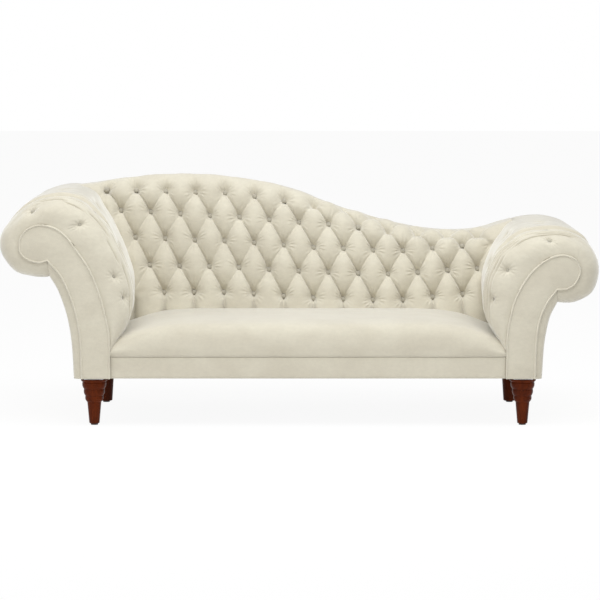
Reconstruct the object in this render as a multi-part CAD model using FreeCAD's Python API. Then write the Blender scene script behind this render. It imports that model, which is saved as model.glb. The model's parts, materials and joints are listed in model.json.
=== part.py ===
"""Fainting couch: a long upholstered seat with a humped, deep buttoned back and two scroll arms.

Left is -X, the sitter's front is -Y and up is +Z. The origin is on the floor, under the
middle of the couch. Depths are counted from the front plane of the arm pads, towards the back.
"""
import FreeCAD
import Part
import math
import os

V = FreeCAD.Vector

# Overall sizes, mm
OVERALL_DEPTH = 820.0
SOFT_GAP = 0.3

# Legs
LEG_HEIGHT = 168.0
GLIDE_HEIGHT = 5.0
GLIDE_RADIUS = 13.0
LEG_TOP_RADIUS = 51.0
LEG_RING_RADII = (48.0, 42.0, 35.5)
LEG_TURNING_HEIGHT = 86.0
LEG_NECK_RADIUS = 25.0
LEG_TOE_RADIUS = 18.5
REAR_LEG_TOP_RADIUS = 36.0
REAR_LEG_NECK_RADIUS = 32.0
REAR_LEG_TOE_RADIUS = 23.0
FRONT_LEG_DEPTH = 62.0
REAR_LEG_DEPTH = 693.0
LEG_FACETS = 28
LEFT_LEG_X = -748.0
RIGHT_LEG_X = 808.0
PLATE_SIZE = 70.0
PLATE_THICKNESS = 5.0
BOLT_RADIUS = 4.0
BOLT_LENGTH = 42.0

# Seat frame and seat
BODY_BOTTOM = 173.0
RAIL_HEIGHT = 79.0
RAIL_THICKNESS = 32.0
FRONT_RAIL_DEPTH = 24.0
REAR_RAIL_DEPTH = 706.0
SIDE_RAIL_WIDTH = 36.0
STRETCHER_WIDTH = 30.0
STRETCHER_CENTRES = [-220.0, 270.0]
CORNER_BLOCK = 95.0
APRON_DEPTH = 14.0
SEAT_FRONT_EDGE = 350.0
SEAT_CROWN = 388.0
SEAT_REAR_FALL = 9.0
# How far the seat's top falls at places along its length, towards the arms
SEAT_SECTIONS = [
    (-688.7, 62.0), (-627.0, 40.0), (-560.0, 16.0), (-480.0, 3.0), (-380.0, 0.0),
    (440.0, 0.0), (520.0, 4.0), (600.0, 20.0), (670.0, 44.0), (746.7, 70.0),
]
SEAT_FRONT_DEPTH = 7.0
STRAP_WIDTH = 50.0
STRAP_THICKNESS = 2.0
STRAP_COUNT = 11
DECK_THICKNESS = 1.5
DUST_COVER_THICKNESS = 1.0

# Back: the face of the pad leans more than the outside of the back
FACE_DEPTH_AT_SEAT = 530.0
FACE_LEAN = 0.325
OUTSIDE_DEPTH_AT_BOTTOM = 750.0
OUTSIDE_LEAN = 0.1
FACE_REFERENCE_HEIGHT = 383.0
BACK_PAD_THICKNESS = 95.0
BACK_PAD_BOTTOM = 270.0
BACK_ROLL = 38.0
OUTSIDE_PANEL_THICKNESS = 6.0
TOP_RAIL_HEIGHT = 60.0
POST_WIDTH = 45.0
POST_CENTRES = [-575.0, -190.0, 200.0, 590.0]
POST_FOOT_DEPTH = 722.0
POST_FOOT_HEIGHT = 24.0
LOWER_RAIL_HEIGHT = 298.0
LOWER_RAIL_DEPTH = 50.0
BACK_STRAP_HEIGHTS = [388.0, 468.0, 548.0]
OUTSIDE_PANEL_FOOT = 780.0

# Arms
BOARD_DEPTH = 24.0
FACING_THICKNESS = 12.0
WELT_WIDTH = 7.0
WELT_PROUD = 3.0
ARM_RAIL_WIDTH = 28.0
ARM_RAIL_HEIGHT = 45.0
ARM_RAIL_SLOTS = [(2, 8.0, 0.0), (4, 8.0, 0.0), (8, -14.0, 8.0)]
OUTSIDE_COVER_DEPTH = 9.0

# Buttons and tufts
BUTTON_RADIUS = 9.5
BUTTON_HEIGHT = 7.0
BUTTON_SEAT = 6.0
TUFT_PITCH = 113.5
TUFT_STAGGER = 56.3
TUFT_FIRST_X = -742.0
TUFT_DEPTH = 26.0
TUFT_SHOULDER = 9.0
TUFT_SHOULDER_WIDTH = 16.0
TUFT_WIDTH = 44.0
BUTTONS_IN_ROW = [8, 12, 13, 12, 11]
TUFT_STATIONS = [-700.0, -300.0, 100.0, 350.0, 650.0]
TUFT_ROW_HEIGHTS = [
    [828.0, 817.0, 768.0, 743.0, 728.0],
    [751.0, 729.0, 699.0, 676.0, 663.0],
    [651.0, 636.0, 610.0, 598.0, 619.0],
    [549.0, 539.0, 519.0, 512.0, 532.0],
    [444.0, 446.0, 421.0, 415.0, 439.0],
]
ARM_BUTTON_DEPTHS = [62.0, 160.0, 260.0, 360.0]
ARM_BUTTON_SLOTS = [[3, 6, 9], [2, 5, 7]]
ARM_TUFT_DEPTH = 12.0

FRONT = -OVERALL_DEPTH / 2

# The top line of the back, x and z, in real millimetres, read from left to right
TOP_LINE = [
    (-870, 834), (-776, 846), (-689, 858), (-569, 871), (-472, 875), (-340, 871), (-198, 855),
    (-90, 835), (0, 809), (85, 775), (170, 744), (251, 719), (330, 698), (400, 682), (470, 670),
    (540, 663), (600, 662), (660, 666), (711, 676), (760, 691), (811, 707),
]

# Each arm's scroll: distance from the middle and height of the board's edge, then of the pad
# over it, from the seat round the roll to the crease under it
LEFT_SCROLL = [
    (689, 278, 676, 283), (691, 338, 636, 343), (705, 408, 608, 418), (729, 493, 606, 498),
    (760, 568, 628, 578), (800, 630, 664, 658), (845, 690, 712, 746), (888, 720, 775, 810),
    (936, 729, 862, 838), (977, 716, 960, 821), (1003, 688, 1028, 775), (1010, 653, 1080, 700),
    (1004, 626, 1084, 628), (977, 605, 1036, 561), (945, 596, 973, 540), (925, 598, 925, 537),
    (911, 604, 903, 541),
]
RIGHT_SCROLL = [
    (747, 278, 736, 283), (748, 328, 700, 338), (757, 388, 672, 393), (772, 448, 664, 458),
    (795, 500, 672, 528), (828, 551, 694, 588), (862, 585, 730, 646), (900, 610, 790, 694),
    (944, 621, 880, 716), (984, 610, 965, 711), (1001, 588, 1037, 679), (1008, 563, 1073, 614),
    (1002, 540, 1083, 556), (987, 516, 1062, 485), (965, 502, 1005, 449), (945, 498, 960, 443),
    (925, 498, 928, 446),
]
# The outside of each arm under its roll: board's edge, then the cover's face
LEFT_OUTSIDE = [
    (911, 604, 903, 541), (857, 538, 873, 488), (815, 433, 843, 398), (794, 328, 827, 298),
    (788, 173, 820, 173),
]
RIGHT_OUTSIDE = [
    (925, 498, 928, 446), (884, 440, 904, 398), (860, 372, 890, 338), (851, 298, 882, 278),
    (848, 173, 876, 173),
]
ARMS = {
    "left": (-1, LEFT_SCROLL, LEFT_OUTSIDE),
    "right": (1, RIGHT_SCROLL, RIGHT_OUTSIDE),
}

# Share of the pad's full thickness at each depth, so that its front edge rounds over
PAD_ROUNDING = [(9.0, 0.30), (14.0, 0.52), (32.0, 0.80), (62.0, 0.95), (105.0, 1.0)]

os.makedirs("parts", exist_ok=True)


def save(name, shape):
    """Write one node and print its size, so that an empty or invalid one is seen."""
    if not shape.isValid() or shape.Volume <= 0:
        print("CHECK", name, shape.isValid(), shape.Volume)
    shape.exportStep("parts/" + name + ".step")
    print(name, len(shape.Solids), round(shape.Volume / 1000), "cm3")


def at_depth(depth):
    return FRONT + depth


def face_depth(height):
    """Depth of the back pad's face at a height."""
    return FACE_DEPTH_AT_SEAT + FACE_LEAN * (height - FACE_REFERENCE_HEIGHT)


def outside_depth(height):
    """Depth of the couch's rear surface at a height."""
    return OUTSIDE_DEPTH_AT_BOTTOM + OUTSIDE_LEAN * (height - BODY_BOTTOM)


def box(x0, x1, d0, d1, z0, z1):
    return Part.makeBox(x1 - x0, d1 - d0, z1 - z0, V(x0, at_depth(d0), z0))


def arcs(points):
    """Arcs through each three points in a row; the points are in threes that share ends."""
    edges = []
    for i in range(0, len(points) - 2, 2):
        a, b, c = points[i], points[i + 1], points[i + 2]
        bend = (b - a).cross(c - b).Length
        if bend < 1.0:
            edges.append(Part.LineSegment(a, c).toShape())
        else:
            edges.append(Part.Arc(a, b, c).toShape())
    return edges


def line(a, b):
    return Part.LineSegment(a, b).toShape()


def closed_wire(edges):
    return Part.Wire(Part.__sortEdges__(edges))


def prism(wire, depth0, depth1):
    """A wire drawn at depth 0, filled and run from one depth to another."""
    face = Part.Face(wire)
    face.translate(V(0, depth0, 0))
    return face.extrude(V(0, depth1 - depth0, 0))


def side_block(profile, x0, x1):
    """A block with a side profile of (depth, height) corners, run from x0 to x1."""
    points = [V(x0, at_depth(d), z) for d, z in profile]
    face = Part.Face(Part.makePolygon(points + points[:1]))
    return face.extrude(V(x1 - x0, 0, 0))


def behind(offset):
    """Everything behind the couch's rear surface, brought forward by an offset."""
    low, high = -50.0, 1100.0
    profile = [
        (outside_depth(low) - offset, low), (outside_depth(high) - offset, high),
        (1400.0, high), (1400.0, low),
    ]
    return side_block(profile, -1500.0, 1500.0)


def tuft_height(row, x):
    """Height of a row of back buttons: the rows follow the hump, dip and rise to the right."""
    heights = TUFT_ROW_HEIGHTS[row]
    last = len(TUFT_STATIONS) - 2
    i = 0
    while i < last and x > TUFT_STATIONS[i + 1]:
        i += 1
    t = (x - TUFT_STATIONS[i]) / (TUFT_STATIONS[i + 1] - TUFT_STATIONS[i])
    t = min(1.1, max(-0.1, t))
    ease = t * t * (3.0 - 2.0 * t)
    return heights[i] + (heights[i + 1] - heights[i]) * (0.5 * t + 0.5 * ease)


def tuft_point(row, index):
    """A button's place on the leaning face of the back."""
    x = TUFT_FIRST_X + TUFT_STAGGER * row + TUFT_PITCH * index
    z = tuft_height(row, x)
    return V(x, at_depth(face_depth(z)), z)


def board_outline(side, scroll, outside):
    """The outline of an arm board or facing, at depth 0."""
    inner = [V(side * bx, at_depth(0), bz) for bx, bz, px, pz in scroll]
    outer = [V(side * bx, at_depth(0), bz) for bx, bz, px, pz in outside]
    foot_in = V(inner[0].x, at_depth(0), BODY_BOTTOM)
    edges = arcs(inner) + arcs(outer) + [line(outer[-1], foot_in), line(foot_in, inner[0])]
    return closed_wire(edges)


def pad_section(side, scroll, depth, share, grow):
    """One slice of an arm pad: the board's edge, and the pad's surface at a share of its bulk."""
    inner = []
    outer = []
    for bx, bz, px, pz in scroll:
        reach = math.hypot(px - bx, pz - bz)
        ux, uz = (px - bx) / reach, (pz - bz) / reach
        full = reach * share + grow
        near = SOFT_GAP - grow
        inner.append(V(side * (bx + ux * near), at_depth(depth), bz + uz * near))
        outer.append(V(side * (bx + ux * full), at_depth(depth), bz + uz * full))
    ends = [line(inner[0], outer[0]), line(inner[-1], outer[-1])]
    return closed_wire(arcs(inner) + arcs(outer) + ends)


def arm_pad(side, scroll, grow=0.0):
    """The pad round an arm: rounded over at the front, straight to the rear."""
    sections = [pad_section(side, scroll, d, share, grow) for d, share in PAD_ROUNDING]
    sections.append(pad_section(side, scroll, 900.0, 1.0, grow))
    return Part.makeLoft(sections, True, True)


def back_outline(inset, offset):
    """The back pad's outline, drawn on a leaning plane behind its face by an offset."""
    def place(x, z):
        return V(x, at_depth(face_depth(z) + offset), z)
    top = []
    for x, z in TOP_LINE:
        top.append(place(x, z - inset))
    foot_r = place(TOP_LINE[-1][0], BACK_PAD_BOTTOM)
    foot_l = place(TOP_LINE[0][0], BACK_PAD_BOTTOM)
    edges = arcs(top) + [line(top[-1], foot_r), line(foot_r, foot_l), line(foot_l, top[0])]
    return closed_wire(edges)


def arm_region(side, scroll, outside, grow):
    """The whole space of an arm seen from the front, grown by a gap, as a long prism."""
    outer = []
    for bx, bz, px, pz in scroll:
        reach = math.hypot(px - bx, pz - bz)
        outer.append(V(side * (px + (px - bx) / reach * grow), at_depth(0), pz + (pz - bz) / reach * grow))
    cover = [V(side * px, at_depth(0), pz) for bx, bz, px, pz in outside]
    cover[0] = outer[-1]
    foot = V(outer[0].x, at_depth(0), BODY_BOTTOM - 20)
    far = V(cover[-1].x, at_depth(0), BODY_BOTTOM - 20)
    edges = arcs(outer) + arcs(cover) + [line(cover[-1], far), line(far, foot), line(foot, outer[0])]
    return prism(closed_wire(edges), -100.0, 1000.0)


def before(offset):
    """Everything in front of a plane that lies behind the back pad's face by an offset."""
    low, high = -50.0, 1100.0
    profile = [
        (-400.0, low), (-400.0, high),
        (face_depth(high) + offset, high), (face_depth(low) + offset, low),
    ]
    return side_block(profile, -1500.0, 1500.0)


def groove(a, b):
    """A cutter for the valley between two buttons: two slopes each side of its bottom."""
    along = b - a
    out = V(0, -math.cos(math.atan(FACE_LEAN)), math.sin(math.atan(FACE_LEAN)))
    across = along.cross(out)
    across.normalize()
    section = [
        (-TUFT_WIDTH, 1.0), (-TUFT_SHOULDER_WIDTH, -TUFT_SHOULDER), (0.0, -TUFT_DEPTH),
        (TUFT_SHOULDER_WIDTH, -TUFT_SHOULDER), (TUFT_WIDTH, 1.0), (0.0, 12.0),
    ]
    points = [a + across * u + out * v for u, v in section]
    face = Part.Face(Part.makePolygon(points + points[:1]))
    return face.extrude(along)


def back_grooves():
    """Cutters along both diagonals between the buttons, and pleats down to the seat."""
    cutters = []
    for row in range(len(BUTTONS_IN_ROW)):
        for i in range(BUTTONS_IN_ROW[row]):
            a = tuft_point(row, i)
            if row + 1 < len(BUTTONS_IN_ROW):
                for j in (i - 1, i):
                    if 0 <= j < BUTTONS_IN_ROW[row + 1]:
                        cutters.append(groove(a, tuft_point(row + 1, j)))
            else:
                foot = V(a.x, at_depth(face_depth(BACK_PAD_BOTTOM)), BACK_PAD_BOTTOM)
                cutters.append(groove(a, foot))
    return cutters


def eight_sided(low_radius, high_radius, height):
    """A short eight-sided cone standing at the origin."""
    rings = []
    for radius, level in [(low_radius, 0.0), (high_radius, height)]:
        ring = []
        for k in range(9):
            turn = math.radians(45.0 * k)
            ring.append(V(radius * math.cos(turn), radius * math.sin(turn), level))
        rings.append(Part.makePolygon(ring))
    return Part.makeLoft(rings, True, True)


def button(place, out):
    """A covered button: an eight-sided low dome, its axis pointing out of the pad."""
    solid = eight_sided(BUTTON_RADIUS, BUTTON_RADIUS * 0.6, BUTTON_HEIGHT)
    solid.Placement = FreeCAD.Placement(place, FreeCAD.Rotation(V(0, 0, 1), out))
    return solid


def top_line_height(x):
    """Height of the back's top line, straight between its points."""
    for (x0, z0), (x1, z1) in zip(TOP_LINE, TOP_LINE[1:]):
        if x0 <= x <= x1:
            return z0 + (z1 - z0) * (x - x0) / (x1 - x0)
    return TOP_LINE[-1][1]


def top_band(upper, lower, depth0=480.0):
    """A band that follows the top line, between two distances below it, as a long prism."""
    high = [V(x, at_depth(depth0), z - upper) for x, z in TOP_LINE]
    low = [V(x, at_depth(depth0), z - lower) for x, z in TOP_LINE]
    edges = arcs(high) + arcs(low) + [line(high[0], low[0]), line(high[-1], low[-1])]
    return Part.Face(closed_wire(edges)).extrude(V(0, 500, 0))


def biggest(shape):
    return sorted(shape.Solids, key=lambda s: -s.Volume)[0]


def make_back(arm_spaces):
    """Tufted pad, buttons, top rail, posts, lower rail, webbing and the outside panel."""
    slab = Part.makeLoft([
        back_outline(BACK_ROLL, 0.0), back_outline(BACK_ROLL * 0.3, 14.0),
        back_outline(0.0, 45.0), back_outline(0.0, 400.0),
    ], True, True)
    slab = slab.cut(behind(OUTSIDE_PANEL_THICKNESS + SOFT_GAP))
    hollow = top_band(BACK_ROLL, 900.0).cut(before(BACK_PAD_THICKNESS))
    pad = slab.cut(hollow).cut(back_grooves()).cut(arm_spaces)
    save("inside_back_pad", biggest(pad))

    out = V(0, -math.cos(math.atan(FACE_LEAN)), math.sin(math.atan(FACE_LEAN)))
    buttons = []
    for row in range(len(BUTTONS_IN_ROW)):
        for i in range(BUTTONS_IN_ROW[row]):
            place = tuft_point(row, i) - out * (TUFT_DEPTH - BUTTON_SEAT)
            solid = button(place, out)
            clear = all(solid.distToShape(space)[0] > 1.0 for space in arm_spaces)
            if clear and place.z < top_line_height(place.x) - BACK_ROLL:
                buttons.append(solid.cut(pad))
    save("back_buttons", Part.makeCompound([biggest(b) for b in buttons]))

    rail = top_band(BACK_ROLL + SOFT_GAP, BACK_ROLL + TOP_RAIL_HEIGHT)
    rail = rail.cut(before(BACK_PAD_THICKNESS + SOFT_GAP))
    rail = rail.cut(behind(OUTSIDE_PANEL_THICKNESS + SOFT_GAP)).cut(arm_spaces)
    save("back_top_rail", biggest(rail))

    frame_front = BACK_PAD_THICKNESS + SOFT_GAP + STRAP_THICKNESS
    low, high = BODY_BOTTOM + RAIL_HEIGHT, 1000.0
    skin = OUTSIDE_PANEL_THICKNESS + SOFT_GAP
    step = low + POST_FOOT_HEIGHT
    wedge = [
        (POST_FOOT_DEPTH, low), (POST_FOOT_DEPTH, step),
        (face_depth(step) + frame_front, step), (face_depth(high) + frame_front, high),
        (outside_depth(high) - skin, high), (outside_depth(low) - skin, low),
    ]
    lower_low, lower_high = LOWER_RAIL_HEIGHT, LOWER_RAIL_HEIGHT + LOWER_RAIL_DEPTH
    lower = side_block([
        (face_depth(lower_low) + frame_front, lower_low),
        (face_depth(lower_high) + frame_front, lower_high),
        (face_depth(lower_high) + frame_front + RAIL_THICKNESS, lower_high),
        (face_depth(lower_low) + frame_front + RAIL_THICKNESS, lower_low),
    ], POST_CENTRES[0] + POST_WIDTH / 2, POST_CENTRES[-1] - POST_WIDTH / 2)
    below_rail = top_band(BACK_ROLL + TOP_RAIL_HEIGHT, 2.0 * low)
    names = ["left_back_post", "left_middle_back_post", "right_middle_back_post", "right_back_post"]
    for name, x in zip(names, POST_CENTRES):
        post = side_block(wedge, x - POST_WIDTH / 2, x + POST_WIDTH / 2)
        save(name, biggest(post.common(below_rail).cut(lower)))
    save("back_lower_rail", biggest(lower))

    straps = []
    for height in BACK_STRAP_HEIGHTS:
        start, end = POST_CENTRES[0] - POST_WIDTH / 2, POST_CENTRES[-1] + POST_WIDTH / 2
        near, far = BACK_PAD_THICKNESS + SOFT_GAP / 2, frame_front
        top = height + STRAP_WIDTH
        strap = side_block([
            (face_depth(height) + near, height), (face_depth(top) + near, top),
            (face_depth(top) + far, top), (face_depth(height) + far, height),
        ], start, end)
        straps.append(biggest(strap.common(below_rail)))
    save("back_webbing", Part.makeCompound(straps))


def make_outside_back(arm_prisms):
    """The flat panel that closes the whole rear: the hump and both scroll ends in one."""
    left, right = -OUTSIDE_PANEL_FOOT, OUTSIDE_PANEL_FOOT
    top = [V(x, at_depth(0), z) for x, z in TOP_LINE]
    corners = [
        top[-1], V(right, at_depth(0), FACE_REFERENCE_HEIGHT + 100), V(right, at_depth(0), BODY_BOTTOM),
        V(left, at_depth(0), BODY_BOTTOM), V(left, at_depth(0), FACE_REFERENCE_HEIGHT + 100), top[0],
    ]
    edges = arcs(top) + [line(a, b) for a, b in zip(corners, corners[1:])]
    middle = prism(closed_wire(edges), 600.0, 1000.0)
    whole = middle.fuse(arm_prisms).removeSplitter()
    whole = whole.common(behind(OUTSIDE_PANEL_THICKNESS)).cut(behind(0.0))
    whole = whole.cut(box(-1500, 1500, 0, 1500, 0, BODY_BOTTOM))
    save("outside_back_panel", biggest(whole))


def make_arm(name, side, scroll, outside):
    """Boards, rails, pad, outside cover, facing, welt and buttons of one arm."""
    outline = board_outline(side, scroll, outside)
    skin = OUTSIDE_PANEL_THICKNESS + SOFT_GAP
    front_board = prism(outline, FACING_THICKNESS, FACING_THICKNESS + BOARD_DEPTH)
    save(name + "_front_scroll_board", front_board)
    rear_board = prism(outline, 600.0, 1000.0)
    rear_board = rear_board.common(behind(skin + BOARD_DEPTH)).cut(behind(skin))
    save(name + "_rear_scroll_board", biggest(rear_board))

    inset = Part.Wire(outline.makeOffset2D(-WELT_WIDTH).Edges)
    facing = prism(inset, WELT_PROUD, FACING_THICKNESS)
    save(name + "_facing_panel", facing)
    save(name + "_facing_welt", prism(outline, 0.0, FACING_THICKNESS).cut(prism(inset, -1.0, 50.0)))

    pad = arm_pad(side, scroll).cut(behind(skin))
    spots = []
    for k, depth in enumerate(ARM_BUTTON_DEPTHS):
        for slot in ARM_BUTTON_SLOTS[k % 2]:
            bx, bz, px, pz = scroll[slot]
            reach = math.hypot(px - bx, pz - bz)
            ux, uz = (px - bx) / reach, (pz - bz) / reach
            share = 0.95 if k == 0 else 1.0
            at = V(side * (bx + ux * reach * share), at_depth(depth), bz + uz * reach * share)
            lean = -0.5 if k == 0 else 0.0
            out = V(side * ux, lean, uz)
            out.normalize()
            spots.append((at, out))
    holes = []
    for at, out in spots:
        hole = eight_sided(BUTTON_RADIUS + SOFT_GAP, ARM_TUFT_DEPTH * 2.2, ARM_TUFT_DEPTH + 6.0)
        hole.Placement = FreeCAD.Placement(at - out * ARM_TUFT_DEPTH, FreeCAD.Rotation(V(0, 0, 1), out))
        holes.append(hole)
    pad = biggest(pad.cut(holes))
    save(name + "_arm_pad", pad)
    buttons = [button(at - out * ARM_TUFT_DEPTH, out) for at, out in spots]
    save(name + "_arm_buttons", Part.makeCompound(buttons))

    board_edge = [V(side * bx + side * SOFT_GAP, at_depth(0), bz) for bx, bz, px, pz in outside]
    face_edge = [V(side * px, at_depth(0), pz) for bx, bz, px, pz in outside]
    ends = [line(board_edge[0], face_edge[0]), line(board_edge[-1], face_edge[-1])]
    cover = prism(closed_wire(arcs(board_edge) + arcs(face_edge) + ends), OUTSIDE_COVER_DEPTH, 1000.0)
    save(name + "_outside_arm_panel", biggest(cover.cut(behind(skin)).cut(pad)))

    rear_stop = behind(skin + BOARD_DEPTH)
    rails = []
    for slot, inward, drop in ARM_RAIL_SLOTS:
        bx, bz, px, pz = scroll[slot]
        x = min(side * (bx + inward), side * (bx + inward + ARM_RAIL_WIDTH))
        top = bz - drop
        start = FACING_THICKNESS + BOARD_DEPTH
        rail = box(x, x + ARM_RAIL_WIDTH, start, 1000, top - ARM_RAIL_HEIGHT, top)
        rails.append(biggest(rail.cut(rear_stop)))
    save(name + "_arm_rails", Part.makeCompound(rails))
    return pad


def make_seat(arm_pads):
    """The crowned seat pad, its cloth deck, webbing and the covered border under it."""
    bottom = BODY_BOTTOM + RAIL_HEIGHT + 2 * STRAP_THICKNESS + DECK_THICKNESS + SOFT_GAP
    lip_bottom = BODY_BOTTOM + RAIL_HEIGHT + SOFT_GAP
    sections = []
    for x, drop in SEAT_SECTIONS:
        edge, crown = SEAT_FRONT_EDGE - drop, SEAT_CROWN - drop
        rear = crown - SEAT_REAR_FALL
        start = FRONT_RAIL_DEPTH - SOFT_GAP

        def at(depth, height):
            return V(x, at_depth(depth), height)
        front = [
            at(SEAT_FRONT_DEPTH + 4, lip_bottom), at(SEAT_FRONT_DEPTH, (lip_bottom + edge) / 2),
            at(SEAT_FRONT_DEPTH + 9, edge), at(SEAT_FRONT_DEPTH + 40, edge + 21),
            at(SEAT_FRONT_DEPTH + 105, edge + 31), at(300, crown), at(face_depth(rear) - SOFT_GAP, rear),
        ]
        heel = at(face_depth(bottom) - SOFT_GAP, bottom)
        step, toe = at(start, bottom), at(start, lip_bottom)
        edges = arcs(front) + [line(front[-1], heel), line(heel, step), line(step, toe), line(toe, front[0])]
        sections.append(closed_wire(edges))
    seat = Part.makeLoft(sections, True, True)
    save("seat_pad", biggest(seat.cut(arm_pads)))

    left, right = -LEFT_SCROLL[0][0], RIGHT_SCROLL[0][0]
    top = BODY_BOTTOM + RAIL_HEIGHT
    deck_level = top + 2 * STRAP_THICKNESS
    deck = box(
        left + 3, right - 3, FRONT_RAIL_DEPTH, POST_FOOT_DEPTH - 1, deck_level, deck_level + DECK_THICKNESS,
    )
    save("seat_deck_cloth", deck)
    long_straps = []
    for k in range(3):
        d = 150.0 + 190.0 * k
        ends = (LEFT_LEG_X - SIDE_RAIL_WIDTH / 2, RIGHT_LEG_X + SIDE_RAIL_WIDTH / 2)
        long_straps.append(box(ends[0], ends[1], d, d + STRAP_WIDTH, top, top + STRAP_THICKNESS))
    save("seat_long_webbing", Part.makeCompound(long_straps))
    cross_straps = []
    pitch = (right - left - 2 * STRAP_WIDTH) / STRAP_COUNT
    for k in range(STRAP_COUNT):
        x = left + STRAP_WIDTH + pitch * (k + 0.5) - STRAP_WIDTH / 2
        level = top + STRAP_THICKNESS
        strap = box(x, x + STRAP_WIDTH, FRONT_RAIL_DEPTH, POST_FOOT_DEPTH - 1, level, level + STRAP_THICKNESS)
        cross_straps.append(strap)
    save("seat_cross_webbing", Part.makeCompound(cross_straps))
    apron = box(left, right, APRON_DEPTH, FRONT_RAIL_DEPTH - SOFT_GAP, BODY_BOTTOM, top)
    save("front_border", apron)


def make_frame():
    """The hardwood seat frame: four rails, two stretchers and four corner blocks."""
    left, right = -LEFT_SCROLL[0][0], RIGHT_SCROLL[0][0]
    low, high = BODY_BOTTOM, BODY_BOTTOM + RAIL_HEIGHT
    inner = FRONT_RAIL_DEPTH + RAIL_THICKNESS
    skin = OUTSIDE_PANEL_THICKNESS + SOFT_GAP
    save("front_seat_rail", box(left, right, FRONT_RAIL_DEPTH, inner, low, high))
    rear = box(left, right, REAR_RAIL_DEPTH, 1000, low, high).cut(behind(skin))
    save("rear_seat_rail", biggest(rear))
    rear_stop = behind(skin + BOARD_DEPTH)
    blocks = []
    for name, x, towards in (("left", LEFT_LEG_X, 1), ("right", RIGHT_LEG_X, -1)):
        half = SIDE_RAIL_WIDTH / 2
        rail = box(x - half, x + half, FACING_THICKNESS + BOARD_DEPTH, 1000, low, high)
        rail = biggest(rail.cut(rear_stop))
        for d in (FRONT_LEG_DEPTH, REAR_LEG_DEPTH):
            hole = Part.makeCylinder(BOLT_RADIUS + SOFT_GAP, BOLT_LENGTH + 5, V(x, at_depth(d), low - 1))
            rail = rail.cut(hole)
        save(name + "_seat_rail", rail)
        face = x + towards * half
        for d, way in ((inner, 1), (REAR_RAIL_DEPTH, -1)):
            corner = V(face, at_depth(d), low + 10)
            along = V(face + towards * CORNER_BLOCK, at_depth(d), low + 10)
            inward = V(face, at_depth(d + way * CORNER_BLOCK), low + 10)
            block = Part.Face(Part.makePolygon([corner, along, inward, corner]))
            blocks.append(block.extrude(V(0, 0, RAIL_HEIGHT - 20)))
    save("corner_blocks", Part.makeCompound(blocks))
    stretchers = []
    for x in STRETCHER_CENTRES:
        half = STRETCHER_WIDTH / 2
        stretchers.append(box(x - half, x + half, inner, REAR_RAIL_DEPTH, low + 8, high - 8))
    save("seat_stretchers", Part.makeCompound(stretchers))


def turned(profile, x, depth):
    """A turned solid from (radius, height) steps, its rounds cut as LEG_FACETS flats."""
    solids = []
    for (r0, z0), (r1, z1) in zip(profile, profile[1:]):
        if z1 > z0:
            rings = []
            for radius, level in ((r0, z0), (r1, z1)):
                ring = []
                for k in range(LEG_FACETS + 1):
                    turn = 2.0 * math.pi * k / LEG_FACETS
                    ring.append(V(x + radius * math.cos(turn), at_depth(depth) + radius * math.sin(turn), level))
                rings.append(Part.makePolygon(ring))
            solids.append(Part.makeLoft(rings, True, True))
    return solids[0].multiFuse(solids[1:])


def make_legs():
    """Four legs with their plates, hanger bolts and glides."""
    top, foot = LEG_HEIGHT, GLIDE_HEIGHT
    neck = top - LEG_TURNING_HEIGHT
    ring = LEG_TURNING_HEIGHT / 6.6
    r1, r2, r3 = LEG_RING_RADII
    collar = neck + 5.6 * ring
    front_profile = [
        (LEG_TOE_RADIUS - 2, foot), (LEG_TOE_RADIUS, foot + 3), (LEG_NECK_RADIUS, neck),
        (r3 - 1, neck + 0.8 * ring), (r3, neck + 1.3 * ring), (r3 - 2, neck + 1.8 * ring),
        (r2 - 1, neck + 2.4 * ring), (r2, neck + 3.1 * ring), (r2 - 2, neck + 3.7 * ring),
        (r1 - 1, neck + 4.3 * ring), (r1, neck + 5.0 * ring), (r1 - 2, collar),
        (LEG_TOP_RADIUS, collar + 5), (LEG_TOP_RADIUS, top),
    ]
    rear_profile = [
        (REAR_LEG_TOE_RADIUS - 2, foot), (REAR_LEG_TOE_RADIUS, foot + 2.5),
        (REAR_LEG_NECK_RADIUS, top - 22), (REAR_LEG_TOP_RADIUS, top - 12), (REAR_LEG_TOP_RADIUS, top),
    ]
    plates, bolts = [], []
    for place, depth, profile in (
        ("front", FRONT_LEG_DEPTH, front_profile), ("rear", REAR_LEG_DEPTH, rear_profile),
    ):
        for name, x in (("left", LEFT_LEG_X), ("right", RIGHT_LEG_X)):
            at = V(x, at_depth(depth), 0)
            start = top - BOLT_LENGTH * 0.6
            hole = Part.makeCylinder(BOLT_RADIUS + SOFT_GAP, 200, at + V(0, 0, start - SOFT_GAP))
            leg = turned(profile, x, depth).cut(hole)
            save(name + "_" + place + "_leg", leg)
            half = PLATE_SIZE / 2
            plate = box(x - half, x + half, depth - half, depth + half, top, top + PLATE_THICKNESS)
            plates.append(plate.cut(hole))
            bolts.append(Part.makeCylinder(BOLT_RADIUS + SOFT_GAP, BOLT_LENGTH, at + V(0, 0, start - SOFT_GAP)))
            save(name + "_" + place + "_glide", Part.makeCylinder(GLIDE_RADIUS, GLIDE_HEIGHT, at))
    save("leg_plates", Part.makeCompound(plates))
    save("leg_bolts", Part.makeCompound(bolts))
    edge = PLATE_SIZE / 2 + 3
    sheet = box(
        LEFT_LEG_X + edge, RIGHT_LEG_X - edge, FRONT_RAIL_DEPTH + 10, REAR_RAIL_DEPTH + 20,
        BODY_BOTTOM - DUST_COVER_THICKNESS, BODY_BOTTOM,
    )
    save("dust_cover", sheet)


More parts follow.
